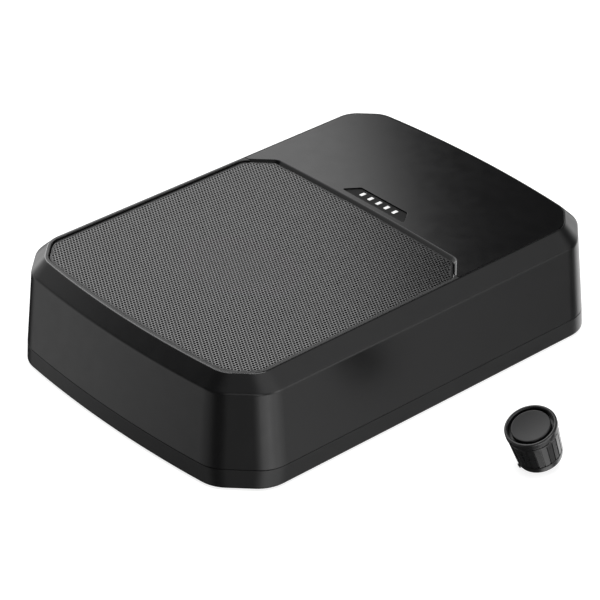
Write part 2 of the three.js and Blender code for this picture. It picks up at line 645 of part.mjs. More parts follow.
function addRemote(group) {
  const { baseR, rimR, height, wellR, capR } = REMOTE;
  const [baseTop, gripBottom] = [5, 5.4];
  const radiusAt = (z) => THREE.MathUtils.lerp(baseR, rimR - 0.3, z / (height - 3));
  const base = cut(
    turned([[0, 0], [baseR - 0.8, 0], [baseR, 0.8], [radiusAt(baseTop), baseTop], [0, baseTop]]),
    post(0, 0, -1, 3, 4.4, 20), post(0, 0, 2, 6, 3.6, 20),
  );
  addPart(group, 'remote_base', base, plastic);
  const { r, bottom, top, boreR } = REMOTE_OUTLET;
  const outlet = cut(post(0, 0, bottom, top, r, 20), post(0, 0, bottom - 1, top + 1, boreR, 12));
  addPart(group, 'remote_cable_outlet', outlet, rubber);
  const bush = post(0, 0, 3.4, 5.6, 3.2);
  const encoder = join(bush, post(0, 0, 5.4, 12, 6.5, 24), post(0, 0, 11, 15, 3, 20));
  addPart(group, 'remote_encoder', cut(encoder, post(0, 0, 13, 16, 1.5, 12)), steel);

  const [rimBottom, grooveDepth] = [height - 4.4, 0.9];
  const body = turned([
    [10, gripBottom], [radiusAt(gripBottom), gripBottom], [radiusAt(rimBottom - 1.2), rimBottom - 1.2],
    [radiusAt(rimBottom) - grooveDepth, rimBottom - 0.8], [radiusAt(rimBottom) - grooveDepth, rimBottom - 0.2],
    [rimR, rimBottom + 0.4], [rimR, height - 0.6], [rimR - 0.6, height],
    [wellR + 0.4, height], [wellR, height - 0.4], [wellR, height - 4], [10, height - 4],
  ]);
  const grooves = around(12, (angle) => {
    const groove = new THREE.BoxGeometry(1, 0.7, rimBottom - 9)
      .translate(radiusAt((rimBottom + 8) / 2) + 0.1, 0, (rimBottom + gripBottom + 1.6) / 2)
      .rotateZ(angle);
    return solid(groove);
  });
  const hub = cut(ring(3.4, 10.5, 12.6, height - 5.5, 32), post(0, 0, height - 9, height - 3, 6, 24));
  addPart(group, 'remote_knob', join(cut(body, ...grooves), hub), plastic);
  const cap = turned([
    [0, height - 4.2], [5.6, height - 4.2], [5.6, height - 2.9], [capR, height - 2.9],
    [capR, height - 0.9], [capR - 0.5, height - 0.4], [0, height - 0.4],
  ]);
  addPart(group, 'remote_button', cap, plastic);
}

// ---- Assembly -----------------------------------------------------------------------------

const subwoofer = new THREE.Group();
addHousing(subwoofer);
addAmplifier(subwoofer);

const driver = new THREE.Group();
driver.position.x = DRIVER_X;
addDriver(driver);
subwoofer.add(driver);

const panel = new THREE.Group();
panel.position.set(PANEL.face, 0, PANEL.mid);
addPanel(panel);
subwoofer.add(panel);

// The remote lies over on the edge of its base and on the cable outlet under it.
const remote = new THREE.Group();
const tilt = THREE.MathUtils.degToRad(REMOTE.tiltDeg);
remote.position.set(REMOTE.x, REMOTE.y, REMOTE.baseR * Math.sin(tilt));
remote.rotation.y = -tilt;
addRemote(remote);
subwoofer.add(remote);

export default subwoofer;
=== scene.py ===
"""Looks of an underseat powered subwoofer and its remote level knob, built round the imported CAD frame.

Shapes are worked out in millimetres and turned into metres where a mesh is made."""

import json
import math
from types import SimpleNamespace as Sizes

import bpy
import numpy as np
from mathutils import Matrix, Vector
from mathutils.geometry import delaunay_2d_cdt


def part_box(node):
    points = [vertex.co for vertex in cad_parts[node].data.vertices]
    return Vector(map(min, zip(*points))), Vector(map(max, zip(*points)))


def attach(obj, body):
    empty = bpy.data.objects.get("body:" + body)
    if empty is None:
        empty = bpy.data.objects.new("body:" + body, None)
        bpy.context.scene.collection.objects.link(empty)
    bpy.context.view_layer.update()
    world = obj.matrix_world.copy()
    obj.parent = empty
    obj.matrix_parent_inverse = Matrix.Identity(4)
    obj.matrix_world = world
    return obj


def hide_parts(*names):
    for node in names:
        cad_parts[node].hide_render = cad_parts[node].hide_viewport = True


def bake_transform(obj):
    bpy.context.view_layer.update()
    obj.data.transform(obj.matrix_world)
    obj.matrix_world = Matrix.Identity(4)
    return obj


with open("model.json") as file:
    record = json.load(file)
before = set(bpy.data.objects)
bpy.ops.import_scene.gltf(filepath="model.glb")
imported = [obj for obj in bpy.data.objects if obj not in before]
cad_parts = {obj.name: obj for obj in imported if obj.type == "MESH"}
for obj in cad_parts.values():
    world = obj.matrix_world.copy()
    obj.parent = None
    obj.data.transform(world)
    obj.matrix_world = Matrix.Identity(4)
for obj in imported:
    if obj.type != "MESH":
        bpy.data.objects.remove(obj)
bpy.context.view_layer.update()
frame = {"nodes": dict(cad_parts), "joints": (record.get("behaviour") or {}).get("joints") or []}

MM = 0.001

# ---- Sizes, in millimetres -----------------------------------------------------------------


def node_box(node):
    low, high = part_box(node)
    return low / MM, high / MM


cover_low, cover_high = node_box("bottom_cover")
shell_low, shell_high = node_box("top_housing")
mesh_low, mesh_high = node_box("grille_mesh")
cone_low, cone_high = node_box("cone")
panel_low, panel_high = node_box("control_panel")

# The box's outline at four heights: half length, half width, corner cut, corner rounding.
FLOOR = Sizes(x=cover_high.x, y=123.6, cut=26.6, round=25, z=cover_low.z)
SEAM = Sizes(x=shell_high.x, y=shell_high.y, cut=28.2, round=25, z=shell_low.z)
SHOULDER = Sizes(x=167.3, y=118.6, cut=24.6, round=23, z=69)
TOP = Sizes(x=157.6, y=108, cut=17.3, round=18, z=shell_high.z)
BOW = 5.4
RECESS = Sizes(rim=2.4, right=53.2, bow=1.8, cut=16.5, round=8, floor=72.9)
PLATE = Sizes(edge=0.9, bottom=node_box("top_plate")[0].z, chamfer=2.4)
BADGE = Sizes(near=57.5, far=68.5, mid=-1, long=31, short=23, floor=77.4)
MESH = Sizes(top=mesh_high.z, thickness=0.8, edge=0.5, bend=0.4, pitch=2.29, hole=1.03)
DRIVER = Vector(((cone_low.x + cone_high.x) / 2, 0, 0))
WELL = Sizes(r=102.8, floor=62, hole=94.5)
PANEL = Sizes(face=panel_high.x, mid=(panel_low.z + panel_high.z) / 2, half_width=panel_high.y,
              half_height=(panel_high.z - panel_low.z) / 2, thickness=panel_high.x - panel_low.x)
GAP = 0.3
WALL = 3
BEYOND = 200  # farther out than any point of the box

# ---- Meshes --------------------------------------------------------------------------------


def mesh_piece(name, vertices, faces, material, smooth_deg=30):
    """A mesh object from millimetre points, smooth except at edges sharper than smooth_deg."""
    mesh = bpy.data.meshes.new(name)
    mesh.from_pydata([tuple(MM * c for c in v) for v in vertices], [], [tuple(f) for f in faces])
    mesh.validate()
    piece = bpy.data.objects.new(name, mesh)
    bpy.context.scene.collection.objects.link(piece)
    if material:
        mesh.materials.append(material)
    shade(piece, smooth_deg)
    return piece


def shade(piece, smooth_deg=30):
    piece.data.shade_smooth()
    piece.data.set_sharp_from_angle(angle=math.radians(smooth_deg))


def weighted(piece):
    """Lets wide flat faces decide the normals at their edges, so that they shade flat."""
    modifier = piece.modifiers.new("normals", "WEIGHTED_NORMAL")
    modifier.mode = "FACE_AREA"
    modifier.weight = 50
    modifier.keep_sharp = True
    return baked(piece)


def loft(name, rings, material=None, smooth_deg=30, closed=False):
    """Skin through rings of equal point count. Its ends are capped, or joined to each other when closed."""
    count = len(rings[0])
    vertices = np.concatenate(rings)
    faces = []
    spans = len(rings) if closed else len(rings) - 1
    for level in range(spans):
        here, there = level * count, ((level + 1) % len(rings)) * count
        for i in range(count):
            j = (i + 1) % count
            faces.append((here + i, here + j, there + j, there + i))
    if not closed:
        faces.append(tuple(reversed(range(count))))
        faces.append(tuple(range(len(vertices) - count, len(vertices))))
    return mesh_piece(name, vertices, faces, material, smooth_deg)


def ring_at(outline, z):
    """An outline of (x, y) points as a ring of 3-D points at height z."""
    flat = np.array(outline, float)
    return np.column_stack([flat, np.full(len(flat), z)])


def between(a, b, share):
    return a * (1 - share) + b * share


def softened_path(rings, radii):
    """Rings of a profile whose corners are rounded, with a ring close to each rounding to keep flats flat."""
    made, steps = [rings[0]], 4
    for i in range(1, len(rings) - 1):
        back, here, onward = rings[i - 1], rings[i], rings[i + 1]
        if not radii[i]:
            made.append(here)
            continue
        reach = [radii[i] / np.linalg.norm(here - other, axis=1).mean() for other in (back, onward)]
        start, end = between(here, back, reach[0]), between(here, onward, reach[1])
        made.append(between(here, back, min(1.8 * reach[0], 0.9)))
        for k in range(steps + 1):
            t = k / steps
            made.append(between(between(start, here, t), between(here, end, t), t))
        made.append(between(here, onward, min(1.8 * reach[1], 0.9)))
    made.append(rings[-1])
    return made


def revolved(name, profile, material=None, segments=96, centre=(0, 0, 0), smooth_deg=30, closed=True):
    """Solid of revolution about Z. A closed profile is a loop; otherwise its ends are capped on the axis."""
    angles = np.arange(segments) * 2 * math.pi / segments
    around = np.column_stack([np.cos(angles), np.sin(angles)])
    rings = [np.column_stack([around * r, np.full(segments, z)]) + np.array(centre) for r, z in profile]
    return loft(name, rings, material, smooth_deg, closed)


def rounded_profile(corners, steps=3):
    """Points of a profile from (r, z, radius) corners, each rounded where it has a radius."""
    points = []
    for i, corner in enumerate(corners):
        here = Vector(corner[:2])
        radius = corner[2] if len(corner) > 2 else 0
        if not radius:
            points.append(tuple(here))
            continue
        back = (Vector(corners[i - 1][:2]) - here).normalized()
        onward = (Vector(corners[(i + 1) % len(corners)][:2]) - here).normalized()
        trim = radius * math.tan((math.pi - back.angle(onward)) / 2)
        for k in range(steps + 1):
            t = k / steps
            leaving, arriving = (here + back * trim).lerp(here, t), here.lerp(here + onward * trim, t)
            points.append(tuple(leaving.lerp(arriving, t)))
    return points


def block(name, x, y, z, material=None, edge=0.0):
    """Box between pairs of x, y and z, with rounded edges where edge is given."""
    corners = [(i, j, k) for k in z for j in y for i in x]
    faces = [(0, 2, 3, 1), (4, 5, 7, 6), (0, 1, 5, 4), (2, 6, 7, 3), (0, 4, 6, 2), (1, 3, 7, 5)]
    piece = mesh_piece(name, corners, faces, material)
    if edge:
        bevel(piece, edge)
    return piece


def baked(piece):
    """Applies the piece's modifiers."""
    bpy.context.view_layer.update()
    graph = bpy.context.evaluated_depsgraph_get()
    mesh = bpy.data.meshes.new_from_object(piece.evaluated_get(graph))
    piece.modifiers.clear()
    piece.data = mesh
    return piece


def edge_modifier(piece, width, steps, limit_deg):
    """Rounds the edges that are sharper than limit_deg."""
    modifier = piece.modifiers.new("edges", "BEVEL")
    modifier.width = width * MM
    modifier.segments = steps
    modifier.limit_method = "ANGLE"
    modifier.angle_limit = math.radians(limit_deg)


def bevel(piece, width, steps=2):
    edge_modifier(piece, width, steps, 35)
    shade(baked(piece))


def carved(piece, tools, operation="DIFFERENCE"):
    """piece with every tool cut away from it, or cut down to the tools. The tools are used up."""
    for tool in tools:
        modifier = piece.modifiers.new("carve", "BOOLEAN")
        modifier.operation = operation
        modifier.solver = "EXACT"
        modifier.object = tool
    baked(piece)
    for tool in tools:
        bpy.data.objects.remove(tool)
    shade(piece)
    return weighted(piece) if piece.data.materials else piece


def joined(name, pieces, material=None):
    """One mesh piece made of several."""
    vertices, faces, first, slots = [], [], 0, []
    materials = [material] if material else []
    for part in pieces:
        mesh = part.data
        vertices += [part.matrix_world @ v.co / MM for v in mesh.vertices]
        own = mesh.materials[0] if mesh.materials else material
        if own not in materials:
            materials.append(own)
        faces += [tuple(first + i for i in p.vertices) for p in mesh.polygons]
        slots += [materials.index(own)] * len(mesh.polygons)
        first = len(vertices)
        bpy.data.objects.remove(part)
    piece = mesh_piece(name, vertices, faces, None)
    for m in materials:
        piece.data.materials.append(m)
    piece.data.polygons.foreach_set("material_index", slots)
    return piece


def placed(piece, matrix):
    """Moves the piece's mesh by a matrix whose translation is in millimetres."""
    scaled = matrix.copy()
    scaled.translation = matrix.translation * MM
    piece.data.transform(scaled)
    return piece


def extra(piece, body="root"):
    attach(piece, body)


def stands_for(piece, node, body="root"):
    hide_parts(node)
    extra(piece, body)


# ---- Outlines ------------------------------------------------------------------------------

SUPPORT = 1.5  # from the end of a rounding to the point that keeps the side beside it flat


def softened(corners):
    """Closed outline with true arcs at the corners, given as (x, y, radius)."""
    points, steps = [], 8
    for i, (x, y, radius) in enumerate(corners):
        here = Vector((x, y))
        if not radius:
            points.append(tuple(here))
            continue
        back = (Vector(corners[i - 1][:2]) - here).normalized()
        onward = (Vector(corners[(i + 1) % len(corners)][:2]) - here).normalized()
        half = (math.pi - back.angle(onward)) / 2
        trim = radius * math.tan(half)
        centre = here + (back + onward).normalized() * (radius / math.cos(half))
        start = here + back * trim - centre
        sweep = math.copysign(2 * half, back.cross(onward) * -1)
        points.append(tuple(here + back * (trim + SUPPORT)))
        for k in range(steps + 1):
            turn = Matrix.Rotation(sweep * k / steps, 2)
            points.append(tuple(centre + turn @ start))
        points.append(tuple(here + onward * (trim + SUPPORT)))
    return points


def bowed_end(x, half, bow, radius):
    """One bulging short end, from its -Y corner to its +Y corner, as corners of an outline."""
    flat, steps = half - 0.8 * radius, 16
    ys = [flat * (2 * i / steps - 1) for i in range(steps + 1)]
    bulge = [(x - bow * (y / half) ** 2, y, 0) for y in ys]
    return [(x - bow, -half, radius), *bulge, (x - bow, half, radius)]


def box_outline(level, inset=0.0):
    leg = level.cut - inset * (2 - math.sqrt(2))
    radius = max(level.round - inset, 2)
    end = bowed_end(level.x - inset, level.y - inset - leg, BOW, radius)
    side_x = level.x - inset - BOW - leg
    right = [(side_x, -(level.y - inset), radius), *end, (side_x, level.y - inset, radius)]
    return softened(right + [(-x, -y, r) for x, y, r in right])


def recess_outline(inset, right_shift=0.0):
    """Outline of the grille recess: it follows the top's edge on the left and has its own right end."""
    half = TOP.y - RECESS.rim - inset
    leg = RECESS.cut - inset * (2 - math.sqrt(2))
    x = RECESS.right - inset - right_shift
    radius = max(RECESS.round - inset, 2)
    end = bowed_end(x, half - leg, RECESS.bow, radius)
    side_x = x - RECESS.bow - leg
    left = [(px, py, 0) for px, py in box_outline(TOP, RECESS.rim + inset) if px < 0]
    return softened([(side_x, -half, radius), *end, (side_x, half, radius), *left])


def badge_outline(inset):
    long, short = BADGE.long - 1.4 * inset, BADGE.short - 0.6 * inset
    near, far, mid = BADGE.near + inset, BADGE.far - inset, BADGE.mid
    radius = max(1.5 - inset, 0.5)
    corners = [(near, mid - long), (far, mid - short), (far, mid + short), (near, mid + long)]
    return rounded_profile([(*corner, radius) for corner in corners], 6)


def circle(r, x, y, count):
    angles = [2 * math.pi * i / count for i in range(count)]
    return [(x + r * math.cos(a), y + r * math.sin(a)) for a in angles]


def prism(outline, z0, z1):
    return loft("tool", [ring_at(outline, z0), ring_at(outline, z1)])


def post(x, y, z0, z1, r, count=32):
    return prism(circle(r, x, y, count), z0, z1)


def flared(outline_at, z0, z1, flare):
    """Cutter whose mouth at z1 widens in a rounding, so that the cut's edge is rounded."""
    steps = 4
    rings = [ring_at(outline_at(0), z0), ring_at(outline_at(0), z1 - 2 * flare)]
    for k in range(steps + 1):
        turn = math.pi / 2 * k / steps
        rings.append(ring_at(outline_at(-flare * (1 - math.cos(turn))), z1 - flare * (1 - math.sin(turn))))
    rings.append(ring_at(outline_at(-flare), z1 + 2))
    return loft("tool", rings)


# ---- Materials -----------------------------------------------------------------------------


def add_node(tree, kind, links=(), **values):
    """New node with its settings; a socket gets a link when its value is another node's output."""
    made = tree.nodes.new(kind)
    for key, value in values.items():
        setattr(made, key, value)
    for socket, value in dict(links).items():
        if isinstance(value, bpy.types.NodeSocket):
            tree.links.new(value, made.inputs[socket])
        else:
            made.inputs[socket].default_value = value
    return made


class Shader:
    """A Principled material and short ways to add procedural detail to it."""

    def __init__(self, name, color, roughness, metallic=0.0, **sockets):
        self.material = bpy.data.materials.new(name)
        self.material.use_nodes = True
        self.tree = self.material.node_tree
        self.main = self.tree.nodes["Principled BSDF"]
        self.color = color
        self.set("Base Color", (*color, 1))
        self.set("Roughness", roughness)
        self.set("Metallic", metallic)
        for socket, value in sockets.items():
            self.set(socket.replace("_", " ").title().replace("Ior", "IOR"), value)
        self.coordinates = self.node("ShaderNodeTexCoord").outputs["Object"]

    def set(self, socket, value):
        self.main.inputs[socket].default_value = value

    def node(self, kind, links=(), **values):
        return add_node(self.tree, kind, links, **values)

    def calculate(self, operation, *values):
        return self.node("ShaderNodeMath", enumerate(values), operation=operation).outputs[0]

    def noise(self, size_mm, detail=2.0, stretch=(1, 1, 1)):
        """Noise with lumps of about size_mm, drawn out along an axis by stretch below 1."""
        where = self.node("ShaderNodeMapping", {"Vector": self.coordinates, "Scale": stretch}).outputs[0]
        links = {"Vector": where, "Scale": 1 / (size_mm * MM), "Detail": detail}
        return self.node("ShaderNodeTexNoise", links).outputs["Fac"]

    def spread(self, factor, low, high):
        links = {"Value": factor, "From Min": 0.3, "From Max": 0.7, "To Min": low, "To Max": high}
        return self.node("ShaderNodeMapRange", links).outputs[0]

    def link(self, output, socket):
        self.tree.links.new(output, self.main.inputs[socket])

    def tint(self, factor, first, second):
        """Base colour between two colours."""
        mix = self.node("ShaderNodeMix", {"Factor": factor}, data_type="RGBA")
        for socket, color in (("A", first), ("B", second)):
            next(s for s in mix.inputs if s.name == socket and s.type == "RGBA").default_value = (*color, 1)
        self.link(next(s for s in mix.outputs if s.type == "RGBA"), "Base Color")

    def mottle(self, size_mm, amount):
        dark = [c * (1 - amount) for c in self.color]
        light = [c * (1 + amount) for c in self.color]
        self.tint(self.noise(size_mm), dark, light)

    def bump(self, height, microns):
        links = {"Height": height, "Distance": microns * MM * MM}
        self.link(self.node("ShaderNodeBump", links).outputs[0], "Normal")


def moulded(name, color, roughness, grain_mm=0.5, microns=12, mottle=0.12, swing=0.04, **sockets):
    """Paint, plastic or rubber: fine surface grain, and gloss and shade that wander a little."""
    shader = Shader(name, color, roughness, **sockets)
    shader.mottle(14, mottle)
    shader.link(shader.spread(shader.noise(9, 3), roughness - swing, roughness + swing), "Roughness")
    shader.bump(shader.noise(grain_mm, 3), microns)
    return shader.material


def metal(name, color, roughness, grain=(1, 1, 1), **sockets):
    """Bare or plated metal with faint drawn marks along the axis where grain is small."""
    shader = Shader(name, color, roughness, 1.0, **sockets)
    shader.mottle(6, 0.08)
    shader.link(shader.spread(shader.noise(0.5, 3, grain), roughness - 0.08, roughness + 0.1), "Roughness")
    shader.bump(shader.noise(0.4, 2, grain), 5)
    return shader.material


def paper_cone():
    shader = Shader("cone_pulp", (0.020, 0.020, 0.021), 0.72)
    shader.mottle(4, 0.25)
    shader.bump(shader.noise(0.8, 5), 40)
    return shader.material


def woven(name, color, pitch_mm):
    """Cloth: crossing threads drawn by two wave patterns."""
    shader = Shader(name, color, 0.85)
    links = {"Vector": shader.coordinates, "Scale": 2 * math.pi / (20 * pitch_mm * MM)}
    waves = [shader.node("ShaderNodeTexWave", links, bands_direction=axis) for axis in ("X", "Y")]
    threads = shader.calculate("MAXIMUM", *(wave.outputs["Fac"] for wave in waves))
    shader.tint(threads, [c * 0.6 for c in color], [c * 1.1 for c in color])
    shader.bump(threads, 120)
    return shader.material


def wound(name, node, turns):
    """Enamelled wire wound round a ring-shaped node: ridges that run outwards from its centre."""
    color = (0.62, 0.27, 0.14)
    shader = Shader(name, color, 0.35, 0.9)
    shift = [-c * MM for c in sum(node_box(node), Vector()) / 2]
    local = shader.node("ShaderNodeVectorMath", {0: shader.coordinates, 1: shift}, operation="ADD").outputs[0]
    parts = shader.node("ShaderNodeSeparateXYZ", {0: local}).outputs
    angle = shader.calculate("ARCTAN2", parts[1], parts[0])
    ridge = shader.calculate("SINE", shader.calculate("MULTIPLY", angle, float(turns)))
    shader.tint(ridge, [c * 0.45 for c in color], color)
    shader.bump(ridge, 250)
    return shader.material


def circuit_board():
    """Solder mask over etched copper: straight runs of slightly lighter green."""
    shader = Shader("solder_mask", (0.012, 0.075, 0.028), 0.32)
    where = shader.node("ShaderNodeMapping", {"Vector": shader.coordinates, "Scale": (1, 1, 0)}).outputs[0]
    black, white = (0, 0, 0, 1), (1, 1, 1, 1)
    runs = shader.node("ShaderNodeTexBrick", {
        "Vector": where, "Scale": 1 / (6 * MM), "Mortar Size": 0.06, "Mortar": white,
        "Color1": black, "Color2": black,
    }).outputs["Fac"]
    shader.tint(runs, (0.010, 0.060, 0.022), (0.030, 0.16, 0.06))
    shader.bump(runs, 35)
    return shader.material


def grille_paint():
    """Matt paint on perforated steel, with tone and gloss that wander a little."""
    shader = Shader("grille_paint", (0.018, 0.018, 0.0185), 0.14, ior=2.3)
    shader.mottle(20, 0.06)
    shader.link(shader.spread(shader.noise(6, 2), 0.12, 0.16), "Roughness")
    shader.bump(shader.noise(0.35, 2), 6)
    return shader.material


PAINT = moulded("satin_paint", (0.0045, 0.0045, 0.0047), 0.30, 0.45, 4, 0.08, 0.02)
# Lighter paint for part of the top edge's rounding: a painted highlight along the -X side, where the light
# catches that edge.
PAINTED_HIGHLIGHT_EDGE = moulded("painted_highlight_edge", (0.075, 0.075, 0.076), 0.25, 0.45, 4, 0.08, 0.03, ior=1.9)
COVER = moulded("cover_paint", (0.0045, 0.0045, 0.0047), 0.34, 0.45, 5, 0.08, 0.02)
GLOSS = moulded("smooth_black", (0.0036, 0.0036, 0.0038), 0.12, 1.2, 0.8, 0.06, 0.012)
BADGE_BLACK = moulded("badge_black", (0.004, 0.004, 0.004), 0.5, 0.6, 4, 0.08, 0.04, specular_ior_level=0.2)
BADGE_LIGHT = moulded("badge_light", (0.72, 0.72, 0.72), 0.32, 0.6, 2, 0.03, 0.03)
PLASTIC = moulded("matt_plastic", (0.011, 0.011, 0.0115), 0.52, 0.35, 14, 0.10, 0.05)
KNOB = moulded("knob_plastic", (0.0075, 0.0075, 0.0078), 0.28, 0.3, 4, 0.10, 0.03, ior=1.75)
KNOB_CAP = moulded("knob_cap", (0.010, 0.010, 0.0104), 0.36, 0.25, 5, 0.08, 0.03, ior=1.6)
GRILLE = grille_paint()
GRILLE_EDGE = moulded("grille_edge", (0.007, 0.007, 0.0072), 0.42, 0.45, 6, 0.08, 0.03)
RUBBER = moulded("rubber", (0.011, 0.011, 0.011), 0.68, 0.4, 20, 0.15, 0.06)
ROLL = moulded("butyl_roll", (0.016, 0.016, 0.0165), 0.42, 0.5, 10, 0.10, 0.05)
FOAM = moulded("seal_foam", (0.030, 0.030, 0.031), 0.95, 0.7, 120, 0.30, 0.03)
CONE = paper_cone()
BLACK_STEEL = moulded("black_steel", (0.018, 0.018, 0.019), 0.45, 0.5, 8, 0.10, 0.05, metallic=0.6)
ZINC = metal("zinc_plate", (0.56, 0.57, 0.58), 0.34)
NICKEL = metal("nickel", (0.76, 0.73, 0.68), 0.18)
ALUMINIUM = metal("aluminium", (0.60, 0.61, 0.62), 0.38, (1, 1, 0.03))
FERRITE = moulded("ferrite", (0.035, 0.035, 0.038), 0.62, 0.8, 45, 0.18, 0.06)
COPPER = metal("copper", (0.62, 0.27, 0.14), 0.3, (1, 1, 0.2))
FORMER = moulded("polyimide", (0.30, 0.12, 0.03), 0.3, 0.8, 6, 0.08, 0.05)
CLOTH = woven("spider_cloth", (0.42, 0.30, 0.13), 0.9)
BOARD = circuit_board()
SLEEVE = moulded("capacitor_sleeve", (0.012, 0.022, 0.07), 0.28, 0.9, 5, 0.06, 0.03)
MARK = moulded("light_mark", (0.62, 0.62, 0.61), 0.45, 0.5, 5, 0.03, 0.04)
LED = moulded("led_lens", (0.06, 0.16, 0.42), 0.12, 0.9, 2, 0.06, 0.02, transmission_weight=0.5)
AMBER = moulded("fuse_amber", (0.55, 0.16, 0.015), 0.16, 0.9, 3, 0.08, 0.03, transmission_weight=0.35)
RED = moulded("red_insulator", (0.35, 0.012, 0.01), 0.35, 0.5, 5, 0.05, 0.04)
WHITE = moulded("white_insulator", (0.6, 0.6, 0.58), 0.35, 0.5, 5, 0.05, 0.04)

# ---- Box -----------------------------------------------------------------------------------

HOUSING_SCREWS = [(145.5, 102.8), (-145.5, 102.8), (145.5, -102.8), (-145.5, -102.8), (0, 113.5), (0, -113.5)]
FEET = [(128, 82), (-128, 82), (128, -82), (-128, -82)]
BOARD_POSTS = [(30, 84), (30, -84), (138, 84), (138, -84), (84, 84), (84, -62)]
BOSS = Sizes(r=4.5, top=27, bore=1.8, bore_top=26)
COVER_POST = Sizes(r=5.4, bore=1.9, head_r=3.4, head_top=6)
BOARD_POST = Sizes(r=3.5, top=11.7, bore=1.3)
FOOT = Sizes(r=10, seat_r=10.4, seat_top=2.5)


def outer_shell():
    rings = [
        ring_at(box_outline(SEAM, 1.6), SEAM.z),
        ring_at(box_outline(SEAM), SEAM.z),
        ring_at(box_outline(SHOULDER), SHOULDER.z),
        ring_at(box_outline(TOP), TOP.z),
        ring_at(box_outline(TOP, 1.6), TOP.z),
    ]
    return softened_path(rings, [0, 0.3, 1.2, 0.55, 0])


def panel_cutters():
    """Pocket that the connector panel sits in, and the window behind it."""
    back = PANEL.face - PANEL.thickness - GAP
    half_y, half_z = PANEL.half_width + GAP, PANEL.half_height + GAP
    y, z = (-half_y, half_y), (PANEL.mid - half_z, PANEL.mid + half_z)
    pocket = block("tool", (back, BEYOND), y, z)
    window = block("tool", (back - 6, BEYOND), (-71, 71), (PANEL.mid - 14, PANEL.mid + 14))
    return [pocket, window]


def build_shell():
    shell = loft("housing_shell", outer_shell(), PAINT)
    plate_floor = PLATE.bottom - GAP
    back = PANEL.face - PANEL.thickness - GAP
    half_y, half_z = PANEL.half_width + GAP + WALL, PANEL.half_height + GAP + WALL
    cavity = loft("tool", [
        ring_at(box_outline(SEAM, WALL), SEAM.z - 1),
        ring_at(box_outline(SHOULDER, WALL), SHOULDER.z - 1.4),
        ring_at(box_outline(TOP, 1.2), plate_floor - WALL),
    ])
    carved(cavity, [
        prism(recess_outline(-WALL), RECESS.floor - WALL, TOP.z),
        post(DRIVER.x, 0, WELL.floor - WALL, TOP.z, WELL.r + WALL, 96),
        block("tool", (back - WALL, BEYOND), (-half_y, half_y), (PANEL.mid - half_z, PANEL.mid + half_z)),
        *(post(x, y, SEAM.z - 2, BOSS.top, BOSS.r) for x, y in HOUSING_SCREWS),
    ])
    plate_seat = carved(
        flared(lambda inset: box_outline(TOP, PLATE.edge - GAP + inset), plate_floor, TOP.z, 0.12),
        [block("tool", (RECESS.right - RECESS.cut - 0.6, BEYOND), (-150, 150), (0, 100))], "INTERSECT",
    )
    carved(shell, [
        cavity,
        flared(lambda inset: recess_outline(inset, PLATE.chamfer), RECESS.floor, TOP.z, 0.5),
        post(DRIVER.x, 0, WELL.floor, TOP.z, WELL.r, 96),
        post(DRIVER.x, 0, WELL.floor - 20, TOP.z, WELL.hole, 96),
        plate_seat,
        *panel_cutters(),
        *(post(x, y, SEAM.z - 1, BOSS.bore_top, BOSS.bore, 16) for x, y in HOUSING_SCREWS),
    ])
    # The top edge's rounding faces that face -X take the lighter paint, which is a painted highlight.
    shell.data.materials.append(PAINTED_HIGHLIGHT_EDGE)
    for face in shell.data.polygons:
        rounded = face.center.z > (TOP.z - 0.6) * MM and 0.75 < face.normal.z < 0.98
        face.material_index = int(rounded and face.normal.x < -0.15)
    stands_for(shell, "top_housing")


def build_cover():
    top = SEAM.z - GAP
    rings = [
        ring_at(box_outline(FLOOR, 3), FLOOR.z),
        ring_at(box_outline(FLOOR), FLOOR.z),
        ring_at(box_outline(SEAM), top),
        ring_at(box_outline(SEAM, 1.2), top),
    ]
    cover = loft("base_cover", softened_path(rings, [0, 1.2, 0.3, 0]), COVER)
    inside = prism(box_outline(SEAM, 5.5), FLOOR.z + 2.5, top + 2)
    carved(inside, [
        *(post(x, y, FLOOR.z, top + 3, COVER_POST.r) for x, y in HOUSING_SCREWS),
        *(post(x, y, FLOOR.z, BOARD_POST.top, BOARD_POST.r) for x, y in BOARD_POSTS),
    ])
    groove = prism(box_outline(SEAM, 1.6), top - 2, top + 1)
    carved(groove, [prism(box_outline(SEAM, 4.4), top - 3, top + 2)])
    carved(cover, [
        inside, groove,
        *(post(x, y, 0, top + 1, COVER_POST.bore, 16) for x, y in HOUSING_SCREWS),
        *(flipped_counterbore(x, y, COVER_POST.head_r, COVER_POST.head_top) for x, y in HOUSING_SCREWS),
        *(flipped_counterbore(x, y, FOOT.seat_r, FOOT.seat_top) for x, y in FEET),
        *(post(x, y, 5, 13, BOARD_POST.bore, 12) for x, y in BOARD_POSTS),
        *(block("tool", (x - 22, x + 22), (y - 0.9, y + 0.9), (0, FLOOR.z + 0.7))
          for x in (-60, 60) for y in range(-30, 31, 6)),
    ])
    stands_for(cover, "bottom_cover")


def flipped_counterbore(x, y, r, z1):
    """Round hole from below up to z1 with a chamfered mouth."""
    flare, count = 0.4, 48
    rings = [
        ring_at(circle(r + flare, x, y, count), 0),
        ring_at(circle(r + flare, x, y, count), FLOOR.z),
        ring_at(circle(r, x, y, count), FLOOR.z + flare),
        ring_at(circle(r, x, y, count), z1),
    ]
    return loft("tool", rings)


def build_gasket():
    bottom, top = SEAM.z - 2, SEAM.z - GAP
    loop = [(3.8, bottom), (2.2, bottom), (2.2, top), (3.8, top)]
    rings = [ring_at(box_outline(SEAM, inset), z) for inset, z in loop]
    gasket = loft("seam_gasket", rings, RUBBER, closed=True)
    stands_for(gasket, "perimeter_gasket")


